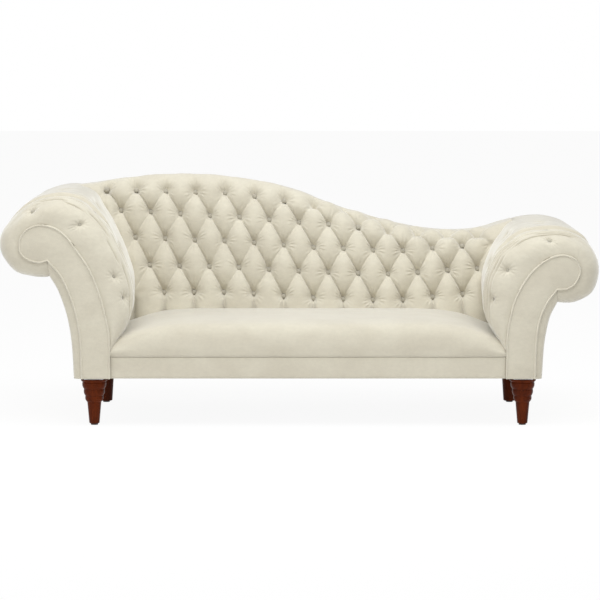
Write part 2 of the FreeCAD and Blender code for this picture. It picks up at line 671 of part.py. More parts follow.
def main():
    make_legs()
    make_frame()
    arm_spaces = []
    arm_prisms = []
    arm_pads = []
    for name, (side, scroll, outside) in ARMS.items():
        make_arm(name, side, scroll, outside)
        arm_pads.append(arm_pad(side, scroll, SOFT_GAP))
        arm_spaces.append(arm_region(side, scroll, outside, SOFT_GAP))
        arm_prisms.append(arm_region(side, scroll, outside, 0.0))
    make_seat(arm_pads)
    make_back(arm_spaces)
    make_outside_back(arm_prisms)


main()
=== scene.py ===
"""Looks of the fainting couch: cream velvet, deep buttoned back, scroll arms and turned legs."""
import json
import math

import bpy
import numpy as np
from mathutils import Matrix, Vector, noise


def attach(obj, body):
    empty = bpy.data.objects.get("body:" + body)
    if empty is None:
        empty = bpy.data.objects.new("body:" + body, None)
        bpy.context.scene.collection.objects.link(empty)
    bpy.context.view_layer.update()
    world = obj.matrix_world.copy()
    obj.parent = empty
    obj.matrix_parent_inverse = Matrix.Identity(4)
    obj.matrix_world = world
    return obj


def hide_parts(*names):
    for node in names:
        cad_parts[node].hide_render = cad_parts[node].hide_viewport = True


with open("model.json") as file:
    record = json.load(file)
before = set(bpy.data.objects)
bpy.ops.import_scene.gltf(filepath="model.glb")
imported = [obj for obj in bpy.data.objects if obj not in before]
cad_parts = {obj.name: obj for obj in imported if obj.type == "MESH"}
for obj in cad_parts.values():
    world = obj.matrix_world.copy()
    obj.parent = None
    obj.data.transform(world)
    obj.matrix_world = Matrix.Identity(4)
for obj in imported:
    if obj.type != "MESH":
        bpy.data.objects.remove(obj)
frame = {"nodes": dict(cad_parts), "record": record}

bl_info = {
    "name": "Fainting couch",
    "version": (1, 0, 0),
    "blender": (4, 5, 0),
    "location": "View3D > Sidebar > Couch",
    "description": "Builds the upholstery, piping, buttons and legs of a fainting couch",
    "category": "Add Mesh",
}

MM = 0.001
FRONT = -0.410

# Planes of the back, as on the frame: depth behind the front plane, and lean per metre of height
FACE_DEPTH = 0.530
FACE_LEAN = 0.325
FACE_HEIGHT = 0.383
OUTSIDE_DEPTH = 0.750
OUTSIDE_LEAN = 0.1
BODY_BOTTOM = 0.173

# The back's top line, x and z in millimetres
TOP_LINE = [
    (-870, 834), (-776, 846), (-689, 858), (-569, 871), (-472, 875), (-340, 871), (-198, 855),
    (-90, 835), (0, 809), (85, 775), (170, 744), (251, 719), (330, 698), (400, 682), (470, 670),
    (540, 663), (600, 662), (660, 666), (711, 676), (760, 691), (811, 707),
]
# The scroll of each arm in millimetres: the board's edge, then the pad's surface over it
LEFT_SCROLL = [
    (689, 278, 676, 283), (691, 338, 636, 343), (705, 408, 608, 418), (729, 493, 606, 498),
    (760, 568, 628, 578), (800, 630, 664, 658), (845, 690, 712, 746), (888, 720, 775, 810),
    (936, 729, 862, 838), (977, 716, 960, 821), (1003, 688, 1028, 775), (1010, 653, 1080, 700),
    (1004, 626, 1084, 628), (977, 605, 1036, 561), (945, 596, 973, 540), (925, 598, 925, 537),
    (911, 604, 903, 541),
]
RIGHT_SCROLL = [
    (747, 278, 736, 283), (748, 328, 700, 338), (757, 388, 672, 393), (772, 448, 664, 458),
    (795, 500, 672, 528), (828, 551, 694, 588), (862, 585, 730, 646), (900, 610, 790, 694),
    (944, 621, 880, 716), (984, 610, 965, 711), (1001, 588, 1037, 679), (1008, 563, 1073, 614),
    (1002, 540, 1083, 556), (987, 516, 1062, 485), (965, 502, 1005, 449), (945, 498, 960, 443),
    (925, 498, 928, 446),
]
LEFT_OUTSIDE = [
    (911, 604, 903, 541), (857, 538, 873, 488), (815, 433, 843, 398), (794, 328, 827, 298),
    (788, 173, 820, 173),
]
RIGHT_OUTSIDE = [
    (925, 498, 928, 446), (884, 440, 904, 398), (860, 372, 890, 338), (851, 298, 882, 278),
    (848, 173, 876, 173),
]
ARMS = {"left": (-1, LEFT_SCROLL, LEFT_OUTSIDE), "right": (1, RIGHT_SCROLL, RIGHT_OUTSIDE)}

# Buttons of the back: rows from the top, first x, step along a row and stagger between rows
TUFT_FIRST = -0.742
TUFT_PITCH = 0.1135
TUFT_STAGGER = 0.0563
TUFT_COUNTS = [8, 13, 13, 12, 11]
TUFT_STATIONS = [-0.700, -0.300, 0.100, 0.350, 0.650]
TUFT_ROWS = np.array([
    [0.828, 0.817, 0.768, 0.743, 0.728],
    [0.751, 0.729, 0.699, 0.676, 0.663],
    [0.651, 0.636, 0.610, 0.598, 0.619],
    [0.549, 0.539, 0.519, 0.512, 0.532],
    [0.444, 0.446, 0.421, 0.415, 0.439],
])


def smooth_through(points, per_span=16):
    """A smooth curve through a list of points: Catmull-Rom spans, as an array."""
    p = np.array(points, float)
    p = np.vstack([2 * p[0] - p[1], p, 2 * p[-1] - p[-2]])
    out = []
    for i in range(1, len(p) - 2):
        t = np.linspace(0, 1, per_span, endpoint=False)[:, None]
        a, b, c, d = p[i - 1], p[i], p[i + 1], p[i + 2]
        out.append(0.5 * (2 * b + (c - a) * t + (2 * a - 5 * b + 4 * c - d) * t ** 2
                          + (3 * b - a - 3 * c + d) * t ** 3))
    out.append(p[-2:-1])
    return np.vstack(out)


def even(points, count):
    """The same path at even steps."""
    p = np.array(points, float)
    run = np.concatenate([[0], np.cumsum(np.linalg.norm(np.diff(p, axis=0), axis=1))])
    s = np.linspace(0, run[-1], count)
    return np.stack([np.interp(s, run, p[:, k]) for k in range(p.shape[1])], axis=1), run[-1]


def face_depth(z):
    """Depth of the inside back's leaning face at a height."""
    return FACE_DEPTH + FACE_LEAN * (z - FACE_HEIGHT)


def outside_depth(z):
    """Depth of the outside back at a height."""
    return OUTSIDE_DEPTH + OUTSIDE_LEAN * (z - BODY_BOTTOM)


TOP = smooth_through(TOP_LINE) * MM


def top_height(x):
    """Height of the back's top line."""
    return np.interp(x, TOP[:, 0], TOP[:, 1])


def ease(low, high, value):
    """A soft step from 0 to 1 between two values."""
    t = np.clip((value - low) / (high - low), 0, 1)
    return t * t * (3 - 2 * t)


def row_height(row, x):
    """Height of a row of back buttons at x, the same rule as the frame's."""
    x = np.asarray(x, float)
    i = np.clip(np.searchsorted(TUFT_STATIONS, x) - 1, 0, len(TUFT_STATIONS) - 2)
    s = np.array(TUFT_STATIONS)
    t = np.clip((x - s[i]) / (s[i + 1] - s[i]), -0.1, 1.1)
    w = 0.5 * t + 0.5 * t * t * (3 - 2 * t)
    h = TUFT_ROWS[row]
    return h[i] + (h[i + 1] - h[i]) * w


def clear_selection():
    if bpy.context.mode != "OBJECT":
        bpy.ops.object.mode_set(mode="OBJECT")
    bpy.ops.object.select_all(action="DESELECT")


def ripple(x, y, z, scale, seed=0.0):
    """Smooth noise at points, from -1 to 1."""
    out = np.empty(len(x))
    for k in range(len(x)):
        out[k] = noise.noise(Vector((x[k] / scale + seed, y[k] / scale, z[k] / scale)))
    return out


def grid_piece(name, across, up):
    """A flat grid primitive of that many steps, ready for its points to be placed."""
    clear_selection()
    bpy.ops.mesh.primitive_grid_add(x_subdivisions=across, y_subdivisions=up, size=1.0)
    piece = bpy.context.active_object
    piece.name = name
    piece.data.name = name
    return piece


def place_points(piece, points):
    piece.data.vertices.foreach_set("co", np.ascontiguousarray(points, dtype=np.float32).ravel())
    piece.data.update()


def smooth_shade(piece):
    piece.data.shade_smooth()


def finish_piece(piece, nodes, material):
    """What every piece needs: its body, the nodes that it stands for and material."""
    piece.data.materials.clear()
    piece.data.materials.append(material)
    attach(piece, "root")
    if nodes:
        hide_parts(*nodes)


def effect_group(name, extra, default):
    """A node group from a place and two colours to colour, roughness and height.

    Returns it with its input and output nodes; extra is the effect's own driving number.
    """
    group = bpy.data.node_groups.new(name, "ShaderNodeTree")
    for label, kind in (("Vector", "Vector"), ("Light", "Color"), ("Dark", "Color"), (extra, "Float")):
        group.interface.new_socket(label, in_out="INPUT", socket_type="NodeSocket" + kind)
    group.interface.items_tree[extra].default_value = default
    for label, kind in (("Color", "Color"), ("Roughness", "Float"), ("Height", "Float")):
        group.interface.new_socket(label, in_out="OUTPUT", socket_type="NodeSocket" + kind)
    return group, group.nodes.new("NodeGroupInput"), group.nodes.new("NodeGroupOutput")


def noise_node(tree, vector, scale, detail, rough=0.5, distortion=0.0):
    """A noise texture over a vector."""
    node = tree.nodes.new("ShaderNodeTexNoise")
    node.inputs["Scale"].default_value = scale
    node.inputs["Detail"].default_value = detail
    node.inputs["Roughness"].default_value = rough
    node.inputs["Distortion"].default_value = distortion
    tree.links.new(vector, node.inputs["Vector"])
    return node


def ramp_node(tree, value, stops):
    """A ramp of greys from (position, grey) stops."""
    node = tree.nodes.new("ShaderNodeValToRGB")
    for end in (0, -1):
        position, grey = stops[end]
        node.color_ramp.elements[end].position = position
        node.color_ramp.elements[end].color = (grey, grey, grey, 1)
    tree.links.new(value, node.inputs["Fac"])
    return node


def mix_color(tree, mode, factor, a, b):
    """A colour mix; factor, a and b are sockets or plain values."""
    node = tree.nodes.new("ShaderNodeMix")
    node.data_type = "RGBA"
    node.blend_type = mode
    for index, value in ((0, factor), (6, a), (7, b)):
        if isinstance(value, bpy.types.NodeSocket):
            tree.links.new(value, node.inputs[index])
        else:
            node.inputs[index].default_value = value
    return node.outputs[2]


def two_tone(group, factor, start):
    """The effect's dark colour to its light one."""
    return mix_color(group, "MIX", factor, start.outputs["Dark"], start.outputs["Light"])


def pile_group():
    """Velvet's pile: soft patches where it lies another way, and a fine nap."""
    group, start, end = effect_group("pile", "Patch", 9.0)
    stretch = group.nodes.new("ShaderNodeMapping")
    stretch.inputs["Scale"].default_value = (1.0, 1.0, 1.7)
    group.links.new(start.outputs["Vector"], stretch.inputs["Vector"])
    vector = stretch.outputs["Vector"]
    patch = noise_node(group, vector, 9.0, 3.0, 0.55, 0.4)
    group.links.new(start.outputs["Patch"], patch.inputs["Scale"])
    nap = noise_node(group, start.outputs["Vector"], 900.0, 2.0, 0.6)
    brushed = noise_node(group, vector, 60.0, 4.0, 0.6)
    fine = ramp_node(group, nap.outputs["Fac"], [(0.3, 0.93), (0.7, 1.04)])
    tone = ramp_node(group, patch.outputs["Fac"], [(0.35, 0), (0.65, 1)])
    color = two_tone(group, tone.outputs["Color"], start)
    strokes = ramp_node(group, brushed.outputs["Fac"], [(0.35, 0.97), (0.65, 1.02)])
    color = mix_color(group, "MULTIPLY", 1.0, color, strokes.outputs["Color"])
    color = mix_color(group, "MULTIPLY", 1.0, color, fine.outputs["Color"])
    group.links.new(color, end.inputs["Color"])
    rough = ramp_node(group, brushed.outputs["Fac"], [(0.2, 0.72), (0.8, 0.9)])
    group.links.new(rough.outputs["Color"], end.inputs["Roughness"])
    height = mix_color(group, "MIX", 0.3, nap.outputs["Color"], brushed.outputs["Color"])
    group.links.new(height, end.inputs["Height"])
    return group


def grain_group():
    """Wood grain along the turning's axis: streaks, pores and darker bands."""
    group, start, end = effect_group("grain", "Fineness", 40.0)
    stretch = group.nodes.new("ShaderNodeMapping")
    stretch.inputs["Scale"].default_value = (1.0, 1.0, 0.12)
    group.links.new(start.outputs["Vector"], stretch.inputs["Vector"])
    streak = noise_node(group, stretch.outputs["Vector"], 40.0, 6.0, 0.6, 0.6)
    group.links.new(start.outputs["Fineness"], streak.inputs["Scale"])
    pores = noise_node(group, stretch.outputs["Vector"], 420.0, 3.0, 0.7)
    tone = ramp_node(group, streak.outputs["Fac"], [(0.32, 0), (0.68, 1)])
    color = two_tone(group, tone.outputs["Color"], start)
    dots = ramp_node(group, pores.outputs["Fac"], [(0.36, 0.6), (0.5, 1)])
    color = mix_color(group, "MULTIPLY", 0.7, color, dots.outputs["Color"])
    group.links.new(color, end.inputs["Color"])
    rough = ramp_node(group, streak.outputs["Fac"], [(0.2, 0.28), (0.8, 0.42)])
    group.links.new(rough.outputs["Color"], end.inputs["Roughness"])
    group.links.new(pores.outputs["Fac"], end.inputs["Height"])
    return group


def weave_group():
    """A plain over-and-under weave in two directions, for straps and lining cloth."""
    group, start, end = effect_group("weave", "Threads", 500.0)
    waves = []
    for direction in ("X", "Y"):
        wave = group.nodes.new("ShaderNodeTexWave")
        wave.bands_direction = direction
        wave.inputs["Distortion"].default_value = 0.6
        wave.inputs["Detail"].default_value = 1.0
        group.links.new(start.outputs["Vector"], wave.inputs["Vector"])
        group.links.new(start.outputs["Threads"], wave.inputs["Scale"])
        waves.append(wave.outputs["Color"])
    threads = mix_color(group, "MULTIPLY", 1.0, waves[0], waves[1])
    fluff = noise_node(group, start.outputs["Vector"], 60.0, 4.0)
    color = two_tone(group, threads, start)
    worn = ramp_node(group, fluff.outputs["Fac"], [(0.3, 0.85), (0.7, 1.1)])
    color = mix_color(group, "MULTIPLY", 1.0, color, worn.outputs["Color"])
    group.links.new(color, end.inputs["Color"])
    rough = ramp_node(group, fluff.outputs["Fac"], [(0.2, 0.8), (0.8, 0.95)])
    group.links.new(rough.outputs["Color"], end.inputs["Roughness"])
    group.links.new(threads, end.inputs["Height"])
    return group


GROUPS = {}


def material_with(name, kind, values, bump, distance, settings):
    """A material that places one of the effect groups in front of its own shader."""
    makers = {"pile": pile_group, "grain": grain_group, "weave": weave_group}
    if kind not in GROUPS:
        GROUPS[kind] = makers[kind]()
    mat = bpy.data.materials.new(name)
    mat.use_nodes = True
    tree = mat.node_tree
    shader = tree.nodes["Principled BSDF"]
    place = tree.nodes.new("ShaderNodeTexCoord")
    effect = tree.nodes.new("ShaderNodeGroup")
    effect.node_tree = GROUPS[kind]
    tree.links.new(place.outputs["Object"], effect.inputs["Vector"])
    for label, value in values.items():
        effect.inputs[label].default_value = value
    relief = tree.nodes.new("ShaderNodeBump")
    relief.inputs["Strength"].default_value = bump
    relief.inputs["Distance"].default_value = distance
    tree.links.new(effect.outputs["Height"], relief.inputs["Height"])
    tree.links.new(relief.outputs["Normal"], shader.inputs["Normal"])
    tree.links.new(effect.outputs["Color"], shader.inputs["Base Color"])
    tree.links.new(effect.outputs["Roughness"], shader.inputs["Roughness"])
    for label, value in settings.items():
        shader.inputs[label].default_value = value
    return mat


MATERIALS = {}
BUTTON_PAINTED_SHADE = 0.68  # painted shade: the buttons' velvet colour is darkened to stand in for the shadow in their hollows


def look():
    """The couch's driving colours and sizes."""
    return bpy.context.scene.couch_look


def velvet(name="cream_velvet", shade=1.0):
    """Short-pile cream velvet; a shade under 1 is painted shade, darkening the colour to stand in for
    shadow, as on the sunk buttons.
    """
    if name not in MATERIALS:
        light = [c * shade for c in look().velvet_light] + [1]
        dark = [c * shade for c in look().velvet_dark] + [1]
        MATERIALS[name] = material_with(
            name, "pile", {"Light": light, "Dark": dark, "Patch": 7.0}, 0.25, 0.0006,
            {"Sheen Weight": 0.85, "Sheen Roughness": 0.45, "Sheen Tint": (1.0, 1.0, 0.99, 1),
             "Specular IOR Level": 0.1},
        )
    return MATERIALS[name]


def leg_wood():
    """Dark stained, waxed hardwood."""
    if "leg_wood" not in MATERIALS:
        MATERIALS["leg_wood"] = material_with(
            "leg_wood", "grain",
            {"Light": (*look().wood_light, 1), "Dark": (*look().wood_dark, 1), "Fineness": 38.0},
            0.12, 0.0004, {"Coat Weight": 0.02, "Coat Roughness": 0.3, "Specular IOR Level": 0.06},
        )
    return MATERIALS["leg_wood"]


def plain_material(slot):
    """The finishes of what is hidden under the covers: frame wood, straps, lining, steel, nylon."""
    if slot in MATERIALS:
        return MATERIALS[slot]
    recipes = {
        "frame_wood": ("grain", (0.62, 0.46, 0.29), (0.42, 0.29, 0.17), ("Fineness", 26.0), 0.2, 0.0005),
        "webbing": ("weave", (0.23, 0.19, 0.15), (0.09, 0.07, 0.05), ("Threads", 420.0), 0.4, 0.0006),
        "lining": ("weave", (0.05, 0.05, 0.05), (0.012, 0.012, 0.012), ("Threads", 600.0), 0.3, 0.0004),
        "steel": ("grain", (0.62, 0.62, 0.64), (0.5, 0.5, 0.52), ("Fineness", 90.0), 0.1, 0.0002),
        "glide_plastic": ("pile", (0.05, 0.035, 0.028), (0.035, 0.025, 0.02), ("Patch", 60.0), 0.1, 0.0002),
    }
    kind, light, dark, (extra, amount), bump, distance = recipes[slot]
    values = {"Light": (*light, 1), "Dark": (*dark, 1), extra: amount}
    settings = {"Metallic": 1.0} if slot == "steel" else {}
    MATERIALS[slot] = material_with(slot, kind, values, bump, distance, settings)
    return MATERIALS[slot]


# Relief of the buttoned cover, in metres
FOLD_SPACING = 0.0989  # across the folds, from one to the next
PILLOW_SINK = 0.0135
PLEAT_DEPTH = 0.0036
TAIL_DEPTH = 0.0065  # the upright pleats under the last row
FUNNEL_DEPTH = 0.0165
HOLLOW_DEPTH = 0.0085
WRINKLE_DEPTH = 0.0011
RAY_HEIGHT = 0.0013
BACK_BUTTON_SINK = 0.0325
BUTTON_HEIGHT = 0.0050


def button_spots():
    """Places of the back's buttons on the sunk face, x and z, without those past the edges."""
    spots = []
    for row, count in enumerate(TUFT_COUNTS):
        for k in range(count):
            x = TUFT_FIRST + TUFT_STAGGER * row + TUFT_PITCH * k
            z = float(row_height(row, x))
            if z < top_height(x) - 0.020:
                spots.append((x, z))
    return spots


def nearest_button(x, z):
    """Distance and direction from the nearest button of the back, and a phase of that button's own."""
    near = np.full(len(x), 9.0)
    angle = np.zeros(len(x))
    phase = np.zeros(len(x))
    for row, count in enumerate(TUFT_COUNTS):
        k = np.round((x - TUFT_FIRST - TUFT_STAGGER * row) / TUFT_PITCH)
        k = np.clip(k, 0, count - 1)
        bx = TUFT_FIRST + TUFT_STAGGER * row + TUFT_PITCH * k
        bz = row_height(row, bx)
        dist = np.hypot(x - bx, z - bz)
        closer = dist < near
        near = np.where(closer, dist, near)
        angle = np.where(closer, np.arctan2(z - bz, x - bx), angle)
        phase = np.where(closer, np.sin(k * 12.9 + row * 78.2) * 3.0, phase)
    return near, angle, phase


def row_place(x, z):
    """Which row a point is at, as a fraction: under 0 above the first row, over 4 under the last."""
    heights = np.array([row_height(row, x) for row in range(len(TUFT_COUNTS))])
    last = len(TUFT_COUNTS) - 1
    r = (heights[0] - z) / (heights[0] - heights[1])
    for row in range(1, last):
        part = row + (heights[row] - z) / (heights[row] - heights[row + 1])
        r = np.where(z < heights[row], part, r)
    return np.where(z < heights[last], last + (heights[last] - z) / 0.1, r)


def tuft_relief(x, z, fade):
    """How far the buttoned cover stands out of the face: pillows, folds, button hollows, creases."""
    r = row_place(x, z)
    inside = np.clip(r, 0, len(TUFT_COUNTS) - 1)
    i = (x - TUFT_FIRST - TUFT_STAGGER * inside) / TUFT_PITCH
    a = i - np.round(i)
    b = (i + inside) - np.round(i + inside)
    from_fold = np.abs(a) * FOLD_SPACING
    near, angle, phase = nearest_button(x, z)
    below = ease(4.0, 4.3, r)
    above = ease(0.05, 0.55, -r)
    # the pillow between four folds: full one way, fuller still the other, level above the first row
    along = np.abs(np.sin(np.pi * a)) ** 0.55
    across = np.abs(np.sin(np.pi * b)) ** 0.75
    across = across + (1 - across) * np.maximum(below, ease(-0.1, 0.35, -r))
    pillow = along * (0.14 + 0.86 * across)
    pillow = pillow + (0.86 - pillow) * above
    relief = look().pillow_height * pillow - PILLOW_SINK
    relief -= PLEAT_DEPTH * np.exp(-(from_fold / 0.0042) ** 1.2) * (1 - above)
    relief -= FUNNEL_DEPTH * np.exp(-(near / 0.0175) ** 2.0)
    relief -= HOLLOW_DEPTH * np.exp(-(near / 0.036) ** 1.3)
    relief -= TAIL_DEPTH * np.exp(-np.abs(from_fold - 0.002 * np.sign(a)) / 0.0045) * below
    # fine wrinkles beside a fold, and rays round a button
    strength = ease(-0.2, 0.35, np.sin(phase * 5.1 + np.sign(a)) + 0.4)
    wrinkle = np.cos(2 * np.pi * (from_fold - 0.0035) / 0.0068)
    wrinkle *= np.exp(-((from_fold - 0.009) / 0.0065) ** 2)
    relief -= WRINKLE_DEPTH * wrinkle * strength * (1 - above) * (1 - 0.5 * below)
    rays = 1.2 - 2.0 * np.abs(np.sin(angle * 8.0 + phase)) ** 0.5
    rays += 0.5 * np.sin(angle * 19.0 - phase * 2)
    reach = 0.027 + 0.007 * np.sin(angle * 3.0 + phase)
    relief += RAY_HEIGHT * rays * np.exp(-((near - reach) / 0.014) ** 2)
    return relief * fade


def scroll_paths(side, scroll, count=320):
    """The board's edge and the pad's surface round an arm, in metres, at even steps of the pad."""
    both = smooth_through(scroll) * MM
    pad = both[:, 2:4]
    run = np.concatenate([[0], np.cumsum(np.linalg.norm(np.diff(pad, axis=0), axis=1))])
    s = np.linspace(0, run[-1], count)
    place = np.interp(s, run, np.linspace(0, len(scroll) - 1, len(both)))
    cols = [np.interp(s, run, both[:, k]) for k in range(4)]
    board = np.stack([side * cols[0], cols[1]], axis=1)
    skin = np.stack([side * cols[2], cols[3]], axis=1)
    return board, skin, s, place


def inner_edge(scroll, z):
    """How far from the middle the inner side of an arm pad stands at a height."""
    both = smooth_through(scroll) * MM
    rising = both[: 8 * 16 + 1]
    return np.interp(z, rising[:, 3], rising[:, 2])


# The inside back's cover, in metres
BACK_BOTTOM = 0.290  # hidden behind the seat
SHOULDER = 0.060  # the face ends this far under the top line
CREST_DEPTH = 0.068  # from the face's end back to the level top
CREST_RUN = 0.080  # the way over the front edge
REAR_RUN = 0.030  # the way down over the rear edge
REAR_DEPTH = 0.018
REAR_FALL = 0.020
COVER_GAP = 0.0065  # between the covers and the outside panel's face
SIDE_TUCK = 0.045  # how far the cover reaches in behind each arm's pad
FACE_ANGLE = math.atan(FACE_LEAN)
# Over these heights an arm's inner edge no longer matters, and its distance from the middle
LEFT_CREST = (0.836, 0.869)
RIGHT_CREST = (0.714, 0.811)


def arm_reach(scroll, crest, z, tuck=0.0):
    """How far out the back's cover can go at a height, on one arm's side."""
    height, limit = crest
    return np.minimum(inner_edge(scroll, np.minimum(z, height)) + tuck, limit)


def over_the_top(path, top, start_d, flat, length):
    """Depth, height and lean of the cover on its way from the face's end to the rear."""
    shoulder = top - SHOULDER
    curl = np.clip(path / CREST_RUN, 0, 1) * (np.pi / 2)
    turning = path <= CREST_RUN
    lean_out = FACE_LEAN * SHOULDER * np.sin(curl) * np.cos(curl)
    d_turn = start_d + CREST_DEPTH * (1 - np.cos(curl)) + lean_out
    z_turn = shoulder + SHOULDER * np.sin(curl)
    along = np.clip((path - CREST_RUN) / np.maximum(length - CREST_RUN - REAR_RUN, 1e-6), 0, 1)
    fall = np.clip((path - (length - REAR_RUN)) / REAR_RUN, 0, 1) * (np.pi / 2)
    d_flat = start_d + CREST_DEPTH + along * (flat - REAR_DEPTH)
    depth = np.where(turning, d_turn, d_flat + REAR_DEPTH * np.sin(fall))
    z = np.where(turning, z_turn, top - REAR_FALL * (1 - np.cos(fall)))
    tilt = np.where(turning, curl, np.pi / 2)
    tilt = np.where(fall > 0, np.pi / 2 + fall, tilt)
    lean = FACE_ANGLE + (np.pi / 2 - FACE_ANGLE) * np.clip(tilt / (np.pi / 2), 0, 1)
    return depth, z, lean + np.maximum(tilt - np.pi / 2, 0)


def make_back():
    """The buttoned inside back: one cover from behind the seat up, over the top and to the rear."""
    across, up, over = 700, 230, 80
    piece = grid_piece("tufted_back", across, up + over)
    v = np.concatenate([np.linspace(0, 1, up + 1), 1 + np.linspace(0, 1, over + 1)[1:]])
    U, W = np.meshgrid(np.linspace(0, 1, across + 1), v)
    x = -0.70 + 1.42 * U
    # x depends on the arms at the point's height, and the height on the top line at x
    for _ in range(12):
        top = top_height(x)
        shoulder = top - SHOULDER
        z = BACK_BOTTOM + np.minimum(W, 1) * (shoulder - BACK_BOTTOM)
        zz = np.where(W > 1, shoulder + (top - shoulder) * np.minimum((W - 1) / 0.3, 1), z)
        left = -arm_reach(LEFT_SCROLL, LEFT_CREST, zz, SIDE_TUCK)
        right = arm_reach(RIGHT_SCROLL, RIGHT_CREST, zz, SIDE_TUCK)
        x = left + (right - left) * U
    top = top_height(x)
    shoulder = top - SHOULDER
    z = BACK_BOTTOM + np.minimum(W, 1) * (shoulder - BACK_BOTTOM)
    start_d = face_depth(shoulder)
    flat = outside_depth(top) - COVER_GAP - start_d - CREST_DEPTH
    length = SHOULDER * 1.25 + flat + REAR_RUN
    path = np.clip(W - 1, 0, 1) * length
    over_depth, over_z, over_lean = over_the_top(path, top, start_d, flat, length)
    over_edge = W > 1
    virtual = np.where(over_edge, shoulder + path, z)
    depth = np.where(over_edge, over_depth, face_depth(z))
    z = np.where(over_edge, over_z, z)
    lean = np.where(over_edge, over_lean, FACE_ANGLE)
    left_gap = x + arm_reach(LEFT_SCROLL, LEFT_CREST, z)
    right_gap = arm_reach(RIGHT_SCROLL, RIGHT_CREST, z) - x
    side_fade = ease(-0.040, -0.005, np.minimum(left_gap, right_gap))
    reach = 0.035 * ease(0.05, 0.25, x)
    fade = side_fade * (1 - ease(0.07 + reach, 0.125 + reach, np.where(over_edge, path, 0)))
    wing = ease(-0.800, -0.740, x) * (1 - ease(0.690, 0.740, x) * ease(0.60, 0.64, z))
    flatx, flatv = x.ravel(), virtual.ravel()
    relief = tuft_relief(flatx, flatv, (fade * wing).ravel())
    relief += 0.0022 * ripple(flatx, flatv * 0, flatv, 0.09, 3.1)
    relief += 0.0007 * ripple(flatx, flatv * 0, flatv, 0.022, 7.7)
    lean = lean.ravel()
    points = np.stack([
        flatx, FRONT + depth.ravel() - np.cos(lean) * relief, z.ravel() + np.sin(lean) * relief,
    ], axis=1)
    place_points(piece, points)
    smooth_shade(piece)
    finish_piece(piece, ["inside_back_pad"], velvet())
    return piece


def dome(name, place, out, radius, height):
    """A covered button: a sphere primitive flattened to a dome, its foot drawn in."""
    clear_selection()
    bpy.ops.mesh.primitive_uv_sphere_add(segments=20, ring_count=12, radius=1.0)
    piece = bpy.context.active_object
    piece.name = name
    turn = Vector((0, 0, 1)).rotation_difference(Vector(out).normalized()).to_matrix()
    for vertex in piece.data.vertices:
        co = vertex.co
        level = co.z * height if co.z > 0 else co.z * height * 0.5
        pinch = 1.0 if co.z > -0.2 else 0.8
        shaped = Vector((co.x * radius * pinch, co.y * radius * pinch, level))
        vertex.co = turn @ shaped + Vector(place)
    smooth_shade(piece)
    return piece


def join(pieces, name):
    """Several objects as one mesh."""
    clear_selection()
    for piece in pieces:
        piece.select_set(True)
    bpy.context.view_layer.objects.active = pieces[0]
    if len(pieces) > 1:
        bpy.ops.object.join()
    joined = bpy.context.active_object
    joined.name = name
    joined.data.name = name
    return joined


def make_back_buttons():
    """The covered buttons of the back, at the bottom of their hollows."""
    out = Vector((0, -math.cos(FACE_ANGLE), math.sin(FACE_ANGLE)))
    domes = []
    for x, z in button_spots():
        behind_left = x < -inner_edge(LEFT_SCROLL, z) + 0.012
        behind_right = x > inner_edge(RIGHT_SCROLL, z) + 0.012
        if behind_left or behind_right:
            continue
        at = Vector((x, FRONT + face_depth(z), z)) - out * BACK_BUTTON_SINK
        domes.append(dome("button", at, out, look().back_button_radius, BUTTON_HEIGHT))
    piece = join(domes, "back_button_covers")
    # the back buttons' velvet carries painted shade for their hollows
    finish_piece(piece, ["back_buttons"], velvet("button_velvet", BUTTON_PAINTED_SHADE))
    return piece


def close_form(piece, closed_path=True):
    """Joins the path's last row to its first, fills the open ends and turns faces outwards."""
    clear_selection()
    piece.select_set(True)
    bpy.context.view_layer.objects.active = piece
    bpy.ops.object.mode_set(mode="EDIT")
    bpy.ops.mesh.select_all(action="SELECT")
    bpy.ops.mesh.remove_doubles(threshold=0.00002)
    bpy.ops.mesh.select_all(action="DESELECT")
    bpy.ops.mesh.select_mode(type="EDGE")
    bpy.ops.mesh.select_non_manifold(extend=False, use_wire=False, use_multi_face=False,
                                     use_non_contiguous=False, use_verts=False)
    bpy.ops.mesh.edge_face_add()
    bpy.ops.mesh.select_all(action="SELECT")
    bpy.ops.mesh.normals_make_consistent(inside=False)
    bpy.ops.object.mode_set(mode="OBJECT")


COVER_START = 0.009  # depth at which an arm's cover begins behind the facing
ARM_RISE = 0.75  # how quickly the front roll swells from the facing's edge


def roll_normal(skin, side):
    """The pad surface's outward direction along a scroll."""
    tangent = np.gradient(skin, axis=0)
    tangent /= np.linalg.norm(tangent, axis=1)[:, None]
    return np.stack([-side * tangent[:, 1], side * tangent[:, 0]], axis=1)


def receding(side, recede, q, place):
    """How far the arm's inner side stands back behind the front roll, along x."""
    return side * recede * ease(0.19, 0.40, q) * (1 - ease(6.0, 7.5, place))


